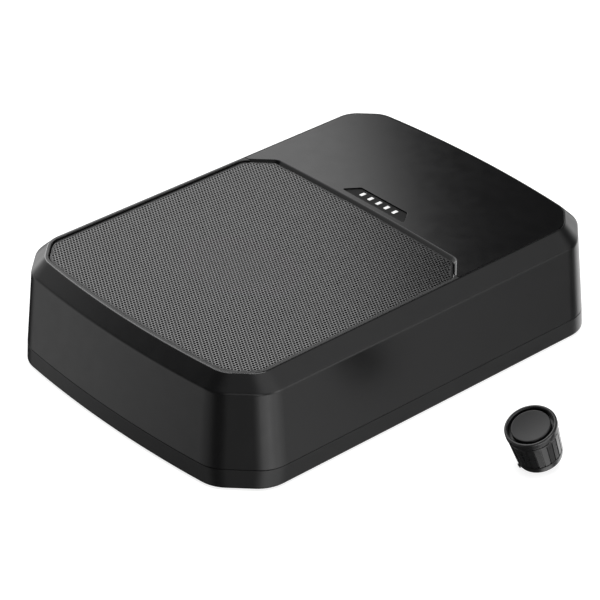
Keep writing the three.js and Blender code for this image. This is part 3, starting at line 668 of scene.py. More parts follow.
def build_plate():
    """Smooth top plate: rounded outer edge, a slope down to the grille, and the pocket of the badge."""
    rings = [
        ring_at(box_outline(TOP, PLATE.edge), PLATE.bottom),
        ring_at(box_outline(TOP, PLATE.edge), TOP.z),
        ring_at(box_outline(TOP, PLATE.edge + 1.2), TOP.z),
    ]
    plate = loft("top_plate_smooth", softened_path(rings, [0, 0.35, 0]), GLOSS)
    slope = PLATE.chamfer / (TOP.z - PLATE.bottom)
    shifts = [(PLATE.bottom - 1, PLATE.chamfer + slope), (TOP.z - 0.5, 0.5 * slope), (TOP.z - 0.24, 0.12),
              (TOP.z - 0.08, -0.22), (TOP.z, -0.6), (TOP.z + 1, -5)]
    sloped = loft("tool", [ring_at(recess_outline(0, shift), z) for z, shift in shifts])
    carved(plate, [
        block("tool", (-BEYOND, RECESS.right - RECESS.cut), (-150, 150), (60, 90)),
        sloped,
        flared(badge_outline, BADGE.floor, TOP.z, 0.18),
    ])
    stands_for(plate, "top_plate")


def build_badge():
    """Dark trapezoid with a row of plain light bars where a name would be."""
    bottom, top = BADGE.floor + GAP, BADGE.floor + 0.8
    rings = [ring_at(badge_outline(inset), z) for inset, z in ((0.3, bottom), (0.3, top), (1.2, top))]
    plaque = loft("badge_plaque", softened_path(rings, [0, 0.2, 0]), BADGE_BLACK)
    stands_for(plaque, "badge_plate")
    bars = []
    for i in range(5):
        mid = BADGE.mid + (i - 2) * 8
        x, y = (BADGE.near + 3.5, BADGE.far - 3), (mid - 1.3, mid + 1.3)
        bars.append(block("bar", x, y, (top - 0.05, top + 0.3), BADGE_LIGHT, 0.12))
    extra(joined("badge_bars", bars, BADGE_LIGHT))


# ---- Grille --------------------------------------------------------------------------------


def inside(polygon, points):
    """Which of the points lie inside the polygon."""
    x, y = points[:, 0], points[:, 1]
    odd = np.zeros(len(points), bool)
    for (x0, y0), (x1, y1) in zip(polygon, np.roll(polygon, -1, axis=0)):
        crosses = (y0 > y) != (y1 > y)
        if y1 != y0:
            odd ^= crosses & (x < (x1 - x0) * (y - y0) / (y1 - y0) + x0)
    return odd


def perforation(outline, pitch, hole):
    """Flat pattern of staggered six-sided holes: points, quads round the holes, and hole loops.

    Each hole sits in a six-sided cell, and a cell is kept when it lies wholly inside the outline."""
    low, high = outline.min(0), outline.max(0)
    row = pitch * math.sqrt(3) / 2
    centres = np.array([
        (low[0] + pitch * (i + 0.5 * (j % 2)), low[1] + row * j)
        for j in range(int((high[1] - low[1]) / row) + 2)
        for i in range(int((high[0] - low[0]) / pitch) + 2)
    ])
    angles = np.radians(30 + 60 * np.arange(6))
    spokes = np.column_stack([np.cos(angles), np.sin(angles)])
    corners = centres[:, None, :] + spokes[None] * pitch / math.sqrt(3)
    keep = inside(outline, corners.reshape(-1, 2)).reshape(-1, 6).all(axis=1)
    points, index = [], {}

    def number(point):
        key = (round(point[0], 3), round(point[1], 3))
        if key not in index:
            index[key] = len(points)
            points.append(tuple(point))
        return index[key]

    quads, holes, edges = [], [], {}
    for centre, cell in zip(centres[keep], corners[keep]):
        around = [number(p) for p in cell]
        rim = list(range(len(points), len(points) + 6))
        points.extend(tuple(centre + hole * spoke) for spoke in spokes)
        for k in range(6):
            n = (k + 1) % 6
            quads.append((around[k], around[n], rim[n], rim[k]))
            edges[(around[k], around[n])] = True
        holes.append(rim)
    border = [edge for edge in edges if (edge[1], edge[0]) not in edges]
    return np.array(points), quads, holes, border, centres[keep]


def in_a_cell(points, centres):
    """Which of the points lie in the six-sided cell of one of the hole centres."""
    sides = np.radians([0, 60, 120])
    normals = np.column_stack([np.cos(sides), np.sin(sides)])
    held = []
    for point in points:
        away = centres - point
        nearest = away[np.argmin((away**2).sum(axis=1))]
        held.append(np.abs(normals @ nearest).max() < MESH.pitch / 2)
    return held


def build_grille():
    """Perforated steel sheet with its edge turned down."""
    def rim(inset):
        return np.array(recess_outline(inset, PLATE.chamfer))

    top, bottom, foot = MESH.top, MESH.top - MESH.thickness, RECESS.floor + GAP
    inner = MESH.edge + MESH.bend
    skirt = [ring_at(rim(inner), bottom), ring_at(rim(inner), foot), ring_at(rim(MESH.edge), foot)]
    for turn in (0, 30, 60, 90):
        angle = math.radians(turn)
        inset = MESH.edge + MESH.bend * (1 - math.cos(angle))
        skirt.append(ring_at(rim(inset), top - MESH.bend * (1 - math.sin(angle))))
    loop = rim(inner)
    points, quads, holes, border, centres = perforation(rim(inner + 0.15), MESH.pitch, MESH.hole)
    count = len(loop)
    # triangles that fill the strip between the edge loop and the cells
    used = sorted({i for edge in border for i in edge})
    place = {i: count + k for k, i in enumerate(used)}
    flat = [Vector(p) for p in loop] + [Vector(points[i]) for i in used]
    rims = [(i, (i + 1) % count) for i in range(count)] + [(place[a], place[b]) for a, b in border]
    flat_out, _, strips, origins, *_ = delaunay_2d_cdt(flat, rims, [], 1, 1e-5)
    if len(flat_out) != len(flat):
        raise ValueError("the grille's border met the perforation")
    source = [o[0] for o in origins]
    middles = np.array([np.mean([flat_out[i] for i in tri], axis=0) for tri in strips])
    strips = [[source[i] for i in tri] for tri, held in zip(strips, in_a_cell(middles, centres)) if not held]
    skirt_points = np.concatenate(skirt)
    upper = len(skirt_points)
    lower = upper + len(points)
    vertices = np.concatenate([skirt_points, ring_at(points, top), ring_at(points, bottom)])
    faces = []
    for level in range(len(skirt) - 1):
        a, b = level * count, (level + 1) * count
        faces += [(a + i, a + (i + 1) % count, b + (i + 1) % count, b + i) for i in range(count)]
    last = (len(skirt) - 1) * count
    for tri in strips:
        up = [last + i if i < count else upper + used[i - count] for i in tri]
        down = [i if i < count else lower + used[i - count] for i in tri]
        faces += [tuple(up), tuple(reversed(down))]
    edge_faces = len(faces)
    for quad in quads:
        faces += [tuple(upper + i for i in quad), tuple(lower + i for i in reversed(quad))]
    for rim_loop in holes:
        for k in range(6):
            a, b = rim_loop[k], rim_loop[(k + 1) % 6]
            faces.append((upper + a, upper + b, lower + b, lower + a))
    grille = mesh_piece("perforated_grille", vertices, faces, GRILLE_EDGE)
    grille.data.materials.append(GRILLE)
    count = len(grille.data.polygons)
    grille.data.polygons.foreach_set("material_index", [int(i >= edge_faces) for i in range(count)])
    stands_for(grille, "grille_mesh")


def build_grille_frame():
    top, bottom = MESH.top - MESH.thickness - GAP, RECESS.floor + GAP
    outer, inner = MESH.edge + MESH.thickness + GAP, 8
    loop = [(inner, bottom), (outer, bottom), (outer, top), (inner, top)]
    rings = [ring_at(recess_outline(inset, PLATE.chamfer), z) for inset, z in loop]
    carrier = loft("grille_carrier", rings, PLASTIC, closed=True)
    stands_for(carrier, "grille_frame")


# ---- Screws --------------------------------------------------------------------------------

# Head radius, head height, shank radius and shank length of each kind of screw.
SCREWS = {
    "cover": (2.9, 2.1, 1.5, 18), "driver": (2.6, 1.7, 1.6, 5.4), "panel": (2.4, 1.3, 1.4, 6),
    "board": (2.4, 1.5, 1.2, 8),
}
screw_meshes = {}


def cross_head_screw(kind, number, matrix, material=BLACK_STEEL):
    """Pan-head screw with a cross recess. Its shank runs from z = 0 down the matrix's own -Z."""
    if kind not in screw_meshes:
        r, height, shank_r, shank = SCREWS[kind]
        corners = [
            (0.05, -shank), (shank_r * 0.6, -shank), (shank_r, -shank + 1), (shank_r, 0), (r, 0, 0.1),
            (r, height * 0.45, 0.3 * height), (r * 0.72, height, 0.5 * height), (0.05, height),
        ]
        head = revolved("screw", rounded_profile(corners), material, 32, closed=False)
        wide, narrow, depth = r * 0.62, r * 0.13, (height * 0.35, height + 1)
        cross = [block("tool", (-a, a), (-b, b), depth) for a, b in ((wide, narrow), (narrow, wide))]
        screw_meshes[kind] = carved(head, cross).data
        bpy.data.objects.remove(head)
    piece = bpy.data.objects.new(f"{kind}_screw_{number}", screw_meshes[kind].copy())
    bpy.context.scene.collection.objects.link(piece)
    return placed(piece, matrix)


def upright(x, y, z):
    return Matrix.Translation((x, y, z))


def upside_down(x, y, z):
    return Matrix.Translation((x, y, z)) @ Matrix.Rotation(math.pi, 4, "X")


def facing_out(x, y, z):
    """From a piece made along Z to panel coordinates, where it points out along +X."""
    return Matrix.Translation((PANEL.face + x, y, PANEL.mid + z)) @ Matrix.Rotation(math.pi / 2, 4, "Y")


def build_underside():
    for i, (x, y) in enumerate(HOUSING_SCREWS, 1):
        stands_for(cross_head_screw("cover", i, upside_down(x, y, 5.7)), f"housing_screw_{i}")
    for i, (x, y) in enumerate(FEET, 1):
        profile = rounded_profile([
            (0.05, FLOOR.z + 0.7), (FOOT.r, FLOOR.z + 0.7, 0.2), (FOOT.r, 0.7, 0.3), (9.4, 0, 0.4),
            (7.2, 0, 0.15), (6.9, 0.5, 0.15), (5.3, 0.5, 0.15), (5, 0, 0.15), (0.05, 0),
        ])
        foot = revolved(f"ribbed_foot_{i}", profile[::-1], RUBBER, 64, (x, y, 0), closed=False)
        stands_for(foot, f"rubber_foot_{i}")


# ---- Driver --------------------------------------------------------------------------------

FLANGE = Sizes(top=65.6, screw_r=99.2, screws=8)
ROLL_RADII = Sizes(inner=77.1, start=78.5, end=91.5, outer=96.2)
SPIDER = Sizes(inner=19.7, outer=57.2, z=42.3)
MOVING = "cone_assembly"  # the body that holds the cone, the dust cap and the voice coil


def flexing(piece, node):
    """A soft ring round the driver's axis: its mesh is fixed in place and the CAD node it stands for is
    hidden.
    """
    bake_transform(piece)
    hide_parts(node)


def build_surround():
    z, thickness, height, steps = 65.9, 0.6, 5.5, 20
    middle, half = (ROLL_RADII.start + ROLL_RADII.end) / 2, (ROLL_RADII.end - ROLL_RADII.start) / 2

    def arc(spread, rise, lift):
        wide, tall = half + spread, height + rise
        turns = [math.pi * (1 - i / steps) for i in range(steps + 1)]
        return [(middle + wide * math.cos(t), z + lift + tall * math.sin(t)) for t in turns]

    outside = [(ROLL_RADII.inner, z + thickness), *arc(0, 0, thickness), (ROLL_RADII.outer, z + thickness)]
    inside_run = [(ROLL_RADII.outer, z), *reversed(arc(-thickness, -0.1, 0)), (ROLL_RADII.inner, z)]
    roll = revolved("surround_roll", (outside + inside_run)[::-1], ROLL, 160, tuple(DRIVER), 50)
    flexing(roll, "surround")


def build_spider():
    waves, thickness, amplitude, steps, flat = 5, 0.5, 1.1, 60, 3.5
    run = SPIDER.outer - SPIDER.inner - 2 * flat
    lower = [(SPIDER.inner, SPIDER.z)]
    for i in range(steps + 1):
        wave = amplitude * 0.5 * (1 - math.cos(2 * math.pi * waves * i / steps))
        lower.append((SPIDER.inner + flat + run * i / steps, SPIDER.z + wave))
    lower.append((SPIDER.outer, SPIDER.z))
    upper = [(r, z + thickness) for r, z in reversed(lower)]
    spider = revolved("corrugated_spider", lower + upper, CLOTH, 120, tuple(DRIVER), 50)
    flexing(spider, "spider")


def build_cone():
    """Shallow cone that curves out to its rim, with three pressed rings."""
    inner, outer, low, high, thickness, steps = 19.8, 76.8, 46.3, 65.4, 1.1, 40
    lower = []
    for i in range(steps + 1):
        share = i / steps
        z = low + (high - low) * (0.25 * share**2 + 0.75 * share)
        pressed = sum(0.45 * math.exp(-(((share - at) / 0.02) ** 2)) for at in (0.55, 0.7, 0.85))
        lower.append((inner + (outer - inner) * share, z + pressed))
    upper = [(r, z + thickness) for r, z in reversed(lower)]
    cone = revolved("pulp_cone", lower + upper, CONE, 128, tuple(DRIVER), 50)
    stands_for(cone, "cone", MOVING)

    radius, rim, crown, shell = 36, 54.6, 60.6, 1.0
    steps = 18
    arc = [(radius * math.sin(t), rim + (crown - rim) * (math.cos(t) - math.cos(1.1)) / (1 - math.cos(1.1)))
           for t in (1.1 * i / steps for i in range(steps + 1))]
    scale = radius / arc[-1][0]
    outside = [(max(r * scale, 0.05), z) for r, z in arc]
    inside_run = [(max(r - shell * 0.9, 0.05), z - shell) for r, z in outside]
    profile = inside_run + [(radius, rim - 1.1)] + outside[::-1]
    cap = revolved("domed_dust_cap", profile, CONE, 96, tuple(DRIVER), 50, closed=False)
    stands_for(cap, "dust_cap", MOVING)


def build_trim_ring():
    inner, outer, bottom, top = 91.9, 96.2, 66.8, 68.8
    profile = rounded_profile([(inner, bottom), (outer, bottom), (outer, top, 0.7), (inner, top, 0.7)])
    ring = revolved("roll_trim_ring", profile, RUBBER, 160, tuple(DRIVER))
    stands_for(ring, "surround_gasket")


def build_driver_screws():
    for i in range(FLANGE.screws):
        angle = math.radians(22.5) + 2 * math.pi * i / FLANGE.screws
        x, y = DRIVER.x + FLANGE.screw_r * math.cos(angle), FLANGE.screw_r * math.sin(angle)
        extra(cross_head_screw("driver", i + 1, upright(x, y, FLANGE.top + 0.05)))


def tube(name, points, r, material):
    """Round wire through the points, smoothed by Catmull-Rom spans."""
    sides, steps = 10, 12
    control = [Vector(p) for p in points]
    control = [2 * control[0] - control[1], *control, 2 * control[-1] - control[-2]]
    line = []
    for a, b, c, d in zip(control, control[1:], control[2:], control[3:]):
        for k in range(steps):
            t = k / steps
            bend, twist = 2 * a - 5 * b + 4 * c - d, 3 * b - a - 3 * c + d
            line.append(0.5 * (2 * b + (c - a) * t + bend * t**2 + twist * t**3))
    line.append(control[-2])
    side = Vector((0, 1, 0))
    rings = []
    for i, point in enumerate(line):
        ahead = (line[min(i + 1, len(line) - 1)] - line[max(i - 1, 0)]).normalized()
        across = ahead.cross(side).normalized()
        side = across.cross(ahead).normalized()
        round_it = [across * dx + side * dy for dx, dy in circle(1, 0, 0, sides)]
        rings.append(np.array([tuple(point + r * spoke) for spoke in round_it]))
    return loft(name, rings, material, 50)


def build_leads():
    runs = []
    for sign in (1, -1):
        points = [(69, 14.5, 42.2), (63, 13.5, 47.5), (45, 9, 48.5), (25, 4, 46.2)]
        runs.append(tube("lead", [(DRIVER.x + x, sign * y, z) for x, y, z in points], 0.6, COPPER))
    strip = block("strip", (DRIVER.x + 68.4, DRIVER.x + 70), (-15, 15), (41.6, 42.6), COPPER, 0.15)
    leads = joined("braided_leads", [strip, *runs], COPPER)
    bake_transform(leads)
    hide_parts("tinsel_leads")


# ---- Connector panel -----------------------------------------------------------------------
# Panel coordinates: x is 0 on the panel's face, y and z are 0 at its middle.

SOCKETS = {
    "power_socket":
        Sizes(y=-52, z=-6.5, width=28, height=13, wall=2, depth=9, front=3, pins=4, rows=1),
    "speaker_level_socket":
        Sizes(y=-26, z=-6.5, width=16.4, height=12, wall=1.8, depth=8, front=2, pins=2, rows=2),
    "remote_socket":
        Sizes(y=-26, z=7.5, width=14, height=11, wall=1.8, depth=8, front=2, pins=3, rows=2),
}
FUSE = Sizes(y=-52, z=8, width=23, height=9)
JACKS = [Sizes(y=-6, z=-7, color=RED), Sizes(y=-6, z=7, color=WHITE)]
POTS = {"gain": 14, "crossover": 34, "bass_boost": 54}
POT_Z = 6
SWITCHES = {"phase": 14, "power_mode": 34}
SWITCH_Z, SWITCH_TRAVEL = -9, 3
LED_AT = Sizes(y=54, z=-9)
PANEL_SCREWS = [(74.5, 16.8), (-74.5, 16.8), (74.5, -16.8), (-74.5, -16.8)]
BOARD_FACE = -12


def panel_block(name, x, y, z, width, height, material=None, edge=0.0):
    """Box over the pair x, with its middle at y and z, in panel coordinates."""
    return block(name, (PANEL.face + x[0], PANEL.face + x[1]), (y - width / 2, y + width / 2),
                 (PANEL.mid + z - height / 2, PANEL.mid + z + height / 2), material, edge)


def panel_turned(name, corners, y, z, material=None, segments=48, closed=False):
    """Solid of revolution about an axis that points out of the panel; corners are (r, x, radius)."""
    turned = revolved(name, rounded_profile(corners), material, segments, closed=closed)
    return placed(turned, facing_out(0, y, z))


def disc(r, low, high):
    """Profile of a solid disc between two heights."""
    return [(0.05, low), (r, low), (r, high), (0.05, high)]


def panel_hole(y, z, r):
    return panel_turned("tool", disc(r, -5, 1), y, z, None, 32)


def build_panel():
    width, height = 2 * PANEL.half_width, 2 * PANEL.half_height
    plate = panel_block("connector_panel", (-PANEL.thickness, 0), 0, 0, width, height, PLASTIC)
    bevel(plate, 0.45, 3)
    through = (-PANEL.thickness - 1, 1)
    slots = [panel_block("tool", through, s.y, s.z, s.width + 2 * GAP, s.height + 2 * GAP)
             for s in (*SOCKETS.values(), FUSE)]
    slots += [panel_block("tool", through, y + SWITCH_TRAVEL / 2, SWITCH_Z, 7, 3) for y in SWITCHES.values()]
    slots += [panel_hole(jack.y, jack.z, 4.6) for jack in JACKS]
    slots += [panel_hole(y, POT_Z, 3.5) for y in POTS.values()]
    slots += [panel_hole(y, z, 1.7) for y, z in PANEL_SCREWS]
    slots.append(panel_hole(LED_AT.y, LED_AT.z, 2))
    carved(plate, slots)
    stands_for(plate, "control_panel")
    for i, (y, z) in enumerate(PANEL_SCREWS, 1):
        extra(cross_head_screw("panel", i, facing_out(0.05, y, z)))


def build_sockets():
    for name, s in SOCKETS.items():
        body = panel_block("body", (BOARD_FACE + GAP, s.front), s.y, s.z, s.width, s.height, PLASTIC, 0.35)
        width, height = s.width - 2 * s.wall, s.height - 2 * s.wall
        carved(body, [panel_block("tool", (s.front - s.depth, s.front + 1), s.y, s.z, width, height)])
        pins = []
        for row in range(s.rows):
            for i in range(s.pins):
                y = s.y + (i - (s.pins - 1) / 2) * width / s.pins
                z = s.z + (row - (s.rows - 1) / 2) * height / s.rows
                thick = 1.6 if s.rows == 1 else 0.9
                reach = (s.front - s.depth - 0.2, s.front - 2.5)
                pins.append(panel_block("pin", reach, y, z, thick, thick, ZINC, 0.12))
        stands_for(joined(f"{name}_shell", [body, *pins], PLASTIC), name)


def build_fuse():
    y, z = FUSE.y, FUSE.z
    holder = panel_block("blade_holder", (BOARD_FACE + GAP, 1), y, z, FUSE.width, FUSE.height, PLASTIC, 0.35)
    carved(holder, [panel_block("tool", (-7, 2), y, z, 19.6, 5.6)])
    stands_for(holder, "fuse_holder")
    body = panel_block("body", (-1.5, 5), y, z, 19, 5, AMBER, 0.7)
    carved(body, [panel_block("tool", (3.6, 6), y, z, 12, 2.6)])
    blades = [panel_block("blade", (-6.5, -1.4), y + side, z, 5, 0.8, ZINC, 0.15) for side in (-6, 6)]
    stands_for(joined("blade_fuse_amber", [body, *blades], AMBER), "blade_fuse")


def build_jacks():
    parts = [panel_block("body", (BOARD_FACE + GAP, -3), JACKS[0].y, 0, 12, 26, PLASTIC, 0.3)]
    for jack in JACKS:
        barrel = [(1.6, -4), (4.15, -4), (4.15, 6.2, 0.35), (3.1, 6.2, 0.2), (3.1, 0.6), (1.6, 0.6)]
        core = [(1.55, 0.4), (2.95, 0.4), (2.95, 5.4, 0.2), (1.55, 5.4, 0.2)]
        for corners, material in ((barrel, NICKEL), (core, jack.color)):
            parts.append(panel_turned("turned", corners, jack.y, jack.z, material, closed=True))
    stands_for(joined("twin_rca_jack", parts, NICKEL), "rca_jacks")


def fluted_ring(r, z, depth):
    """Ring whose radius dips by depth at each flute."""
    flutes, per_flute = 18, 6
    count = flutes * per_flute
    points = []
    for i in range(count):
        dip = depth * max(math.cos(2 * math.pi * i / per_flute), 0) ** 2
        angle = 2 * math.pi * i / count
        points.append(((r - dip) * math.cos(angle), (r - dip) * math.sin(angle), z))
    return np.array(points)


def build_panel_knobs():
    for name, y in POTS.items():
        levels = [
            (0.05, -8.7, 0), (3, -8.7, 0), (3, 0.5, 0), (6, 0.5, 0), (6.2, 0.8, 0), (6.2, 1.7, 0),
            (5.9, 2, 0), (5.45, 2.05, 0), (5.4, 2.4, 0.4), (5.25, 5.9, 0.4), (5, 6.3, 0.2), (4.7, 6.4, 0),
            (0.05, 6.4, 0),
        ]
        knob = loft("body", [fluted_ring(*level) for level in levels], KNOB, 35)
        pointer = block("pointer", (-5.6, -1.2), (-0.45, 0.45), (6.3, 6.55), MARK, 0.1)
        whole = placed(joined(f"{name}_dial_knob", [knob, pointer], KNOB), facing_out(0, y, POT_Z))
        stands_for(whole, f"{name}_knob", f"{name}_knob")


def build_sliders():
    for name, y in SWITCHES.items():
        stem = panel_block("stem", (-6.6, 1.2), y, SWITCH_Z, 3.2, 2.3, MARK, 0.2)
        grips = [panel_block("grip", (1.1, 1.75), y + shift, SWITCH_Z, 0.6, 2.1, MARK, 0.15)
                 for shift in (-1.2, 0, 1.2)]
        whole = joined(f"{name}_slide_button", [stem, *grips], MARK)
        stands_for(whole, f"{name}_slider", f"{name}_slider")


def build_marks():
    """Printed marks: ticks round each dial knob, two dots at each switch, frames round the sockets."""
    marks, face, line = [], (0.01, 0.06), 0.25
    for y in POTS.values():
        for i in range(11):
            angle = math.radians(-140 + 28 * i)
            length = 1.7 if i in (0, 5, 10) else 1.0
            tick = block("tick", (7.3, 7.3 + length), (-0.14, 0.14), face)
            turn = Matrix.Rotation(math.pi - angle, 4, "Z")
            marks.append(placed(tick, facing_out(0, y, POT_Z) @ turn))
    for y in SWITCHES.values():
        for end in (-4.2, SWITCH_TRAVEL + 4.2):
            marks.append(panel_turned("dot", disc(0.45, *face), y + end, SWITCH_Z, None, 16))
    for s in (*SOCKETS.values(), FUSE):
        width, height = s.width + 2.6, s.height + 2.6
        for side in (1, -1):
            marks.append(panel_block("frame", face, s.y, s.z + side * height / 2, width, line))
        for side in (1, -1):
            marks.append(panel_block("frame", face, s.y + side * width / 2, s.z, line, height))
    extra(joined("panel_marks", marks, MARK))


def build_led():
    corners = [(0.05, -6), (1.6, -6), (1.6, -0.4), (1.2, -0.4), (1.2, 0.8, 0.6), (0.05, 0.8)]
    stands_for(panel_turned("status_light", corners, LED_AT.y, LED_AT.z, LED), "status_led")


# ---- Remote level knob ---------------------------------------------------------------------
# Remote coordinates: z is 0 on the underside of its base and runs along the knob's axis.

REMOTE = Sizes(base_r=15, rim_r=17.2, height=29.9, well_r=14.9, cap_r=13, pads=24, hinge_z=15)
LUG_DEG = 163  # bearing of the small lug on the base


def remote_matrix():
    joint = next(j for j in frame["joints"] if j["name"] == "remote_knob_turn")
    up = Vector(joint["axis"])
    across = Vector((0, 1, 0))
    turn = Matrix((across.cross(up), across, up)).transposed().to_4x4()
    return Matrix.Translation(Vector(joint["pos_m"]) / MM - up * REMOTE.hinge_z) @ turn


def remote_radius(z):
    return REMOTE.base_r + (REMOTE.rim_r - 0.3 - REMOTE.base_r) * z / (REMOTE.height - 3)


def grip_ring(r, z, relief):
    """Ring of flat pads with grooves between them; relief 0 is a plain circle, 1 the full grooves."""
    pitch = 2 * math.pi / REMOTE.pads
    half_groove, edge, depth = math.radians(1.1), math.radians(1.75), 0.65
    flat = math.cos(pitch / 2 - edge)
    points = []
    for pad in range(REMOTE.pads):
        start = pad * pitch
        for turn, groove in ((-half_groove, True), (half_groove, True), (edge, False), (pitch / 3, False),
                             (2 * pitch / 3, False), (pitch - edge, False)):
            grooved = r - depth if groove else r * flat / math.cos(turn - pitch / 2)
            reach = r + (grooved - r) * relief
            angle = start + turn
            points.append((reach * math.cos(angle), reach * math.sin(angle), z))
    return np.array(points)


def build_remote_knob(matrix):
    top = REMOTE.height
    bottom, pads_top, rim_bottom = 5.4, top - 6.7, top - 4.4
    neck = remote_radius(rim_bottom) - 0.9
    low_r, high_r, rim, well = remote_radius(bottom), remote_radius(pads_top), REMOTE.rim_r, REMOTE.well_r
    levels = [
        (10, bottom, 0), (low_r - 0.5, bottom, 1), (low_r - 0.12, bottom + 0.15, 1),
        (low_r, bottom + 0.45, 1), (high_r, pads_top - 0.3, 1), (high_r - 0.1, pads_top, 1),
        (high_r - 0.05, pads_top + 0.06, 0),
    ]
    outline = [
        (high_r, pads_top + 0.35), (remote_radius(rim_bottom - 1.3) - 0.05, rim_bottom - 1.3),
        (remote_radius(rim_bottom - 1.2) - 0.2, rim_bottom - 1.05), (neck, rim_bottom - 0.9),
        (neck, rim_bottom - 0.1), (rim - 0.35, rim_bottom + 0.1), (rim - 0.1, rim_bottom + 0.25),
        (rim, rim_bottom + 0.6), (rim, top - 1.1), (rim - 0.06, top - 0.65), (rim - 0.25, top - 0.3),
        (rim - 0.6, top - 0.07), (rim - 1, top), (well + 0.7, top - 0.03), (well + 0.3, top - 0.2),
        (well + 0.05, top - 0.5), (well, top - 0.9), (well, top - 4), (10, top - 4), (10, top - 5.5),
        (6, top - 5.5), (6, top - 9), (3.4, top - 9), (3.4, 12.6), (10, 12.6),
    ]
    levels += [(r, z, 0) for r, z in outline]
    knob = loft("remote_grip", [grip_ring(*level) for level in levels], KNOB, 28, closed=True)
    stands_for(placed(weighted(knob), matrix), "remote_knob", "remote_knob")


def build_remote(matrix):
    build_remote_knob(matrix)
    top, dish = REMOTE.height - 0.4, 0.45
    r = REMOTE.cap_r
    cap = [(0.05, top - 3.8), (5.6, top - 3.8), (5.6, top - 2.5), (r, top - 2.5), (r, top - 0.5)]
    cap += [(r - 0.08, top - 0.2), (r - 0.3, top - 0.04), (r - 0.6, top)]
    shares = [1 - i / 12 for i in range(13)]
    cap += [((r - 1) * share + 0.05, top - dish * (1 - share**2) - 0.02) for share in shares]
    button = revolved("remote_push_cap", cap, KNOB_CAP, 96, closed=False, smooth_deg=40)
    stands_for(placed(button, matrix), "remote_button", "remote_button")

    base_r = REMOTE.base_r
    corners = [(4.4, 0), (base_r - 0.3, 0, 1.3), (remote_radius(5), 5, 0.25), (3.6, 5), (3.6, 3), (4.4, 3)]
    base = revolved("band", rounded_profile(corners, 6), KNOB, 120)
    lug = block("lug", (base_r - 1, base_r + 0.9), (-1.4, 1.4), (0.7, 2.6), KNOB, 0.3)
    placed(lug, Matrix.Rotation(math.radians(LUG_DEG), 4, "Z"))
    band = joined("remote_base_band", [weighted(base), lug], KNOB)
    stands_for(placed(band, matrix), "remote_base")
    outlet = [
        (1.5, -4.05, 0.2), (3.4, -4.05, 0.4), (3.6, -2.9, 0.2), (3.2, -2.6, 0.2), (3.2, -2.2, 0.2),
        (3.8, -1.9, 0.2), (3.9, -0.8, 0.2), (3.4, -0.5, 0.2), (3.4, -0.2, 0.2), (4, 0.2), (4, 2.7),
        (1.5, 2.7),
    ]
    grommet = revolved("remote_grommet", rounded_profile(outlet), RUBBER, 48)
    stands_for(placed(grommet, matrix), "remote_cable_outlet")


# ---- Amplifier -----------------------------------------------------------------------------


def build_board_details():
    """Chips, resistors and small capacitors on the amplifier board, and its screws."""
    top = node_box("amplifier_board")[1].z + 0.02
    parts = []

    def chip(x, y, length, width, pins):
        parts.append(block("chip", (x, x + length), (y, y + width), (top + 0.3, top + 2.1), PLASTIC, 0.25))
        pitch = length / pins
        for i in range(pins):
            for edge in (y - 1.1, y + width):
                at = x + pitch * (i + 0.5)
                parts.append(block("leg", (at - 0.25, at + 0.25), (edge, edge + 1.1), (top, top + 0.8), ZINC))

    chip(60, -52, 20, 8, 12)
    chip(30, 58, 14, 6, 8)
    chip(118, -50, 14, 8, 8)
    for i in range(8):
        x, y = 122 + 5 * (i % 4), -8 + 12 * (i // 4)
        profile = rounded_profile([(0.05, 0), (2.2, 0), (2.2, 7, 0.4), (0.05, 7)])
        parts.append(placed(revolved("can", profile, SLEEVE, 24, closed=False), upright(x, y, top)))
    for i in range(14):
        x, y = 28 + 7 * i, 78
        if not 78 < x < 92:
            parts.append(block("resistor", (x, x + 3.2), (y, y + 1.6), (top, top + 0.7), PLASTIC, 0.1))
    extra(joined("board_parts", parts, PLASTIC))
    for i, (x, y) in enumerate(BOARD_POSTS, 1):
        extra(cross_head_screw("board", i, upright(x, y, top), ZINC))


CARRIED_OVER = {
    "amplifier_board": BOARD, "control_board": BOARD,
    "heat_sink": ALUMINIUM, "power_transistors": PLASTIC,
    "supply_transformer": wound("transformer_winding", "supply_transformer", 70),
    "output_inductor": wound("inductor_winding", "output_inductor", 40),
    "capacitor_1": SLEEVE, "capacitor_2": SLEEVE, "speaker_leads": RUBBER,
    "driver_basket": BLACK_STEEL, "driver_seal": FOAM, "driver_terminal": PLASTIC,
    "voice_coil": COPPER, "voice_coil_former": FORMER,
    "magnet": FERRITE, "magnet_top_plate": ZINC, "pole_yoke": ZINC,
    "potentiometers": ZINC, "slide_switches": ZINC, "remote_encoder": ZINC,
}


def finish_carried_over():
    for name, material in CARRIED_OVER.items():
        node = frame["nodes"][name]
        node.data.materials.clear()
        node.data.materials.append(material)
        shade(node)
        edge_modifier(node, 0.2, 1, 50)


# ---- Camera, floor and light ---------------------------------------------------------------

def direction(azimuth, elevation):
    """Unit vector towards a bearing: azimuth from +Y towards +X, elevation above the horizon."""
    a, e = math.radians(azimuth), math.radians(elevation)
    return (math.sin(a) * math.cos(e), math.cos(a) * math.cos(e), math.sin(e))


CAMERA = Sizes(place=(-1.10359, -1.24000, 1.06089), azimuth=41.48, elevation=31.93, lens=173.147)


def add_camera():
    data = bpy.data.cameras.new("camera")
    camera = bpy.data.objects.new("camera", data)
    bpy.context.scene.collection.objects.link(camera)
    camera.location = CAMERA.place
    camera.rotation_mode = "QUATERNION"
    camera.rotation_quaternion = Vector(direction(CAMERA.azimuth, -CAMERA.elevation)).to_track_quat("-Z", "Y")
    data.lens = CAMERA.lens
    data.sensor_width = 36
    bpy.context.scene.camera = camera


def add_floor():
    size = 6000
    corners = [(-size, -size, 0), (size, -size, 0), (size, size, 0), (-size, size, 0)]
    floor = mesh_piece("floor", corners, [(0, 1, 2, 3)], None)
    shader = Shader("floor", (0.4, 0.4, 0.4), 0.9, specular_ior_level=0.1)
    shader.set("Emission Color", (1, 1, 1, 1))
    shader.set("Emission Strength", 0.82)
    floor.data.materials.append(shader.material)
    floor.visible_glossy = False


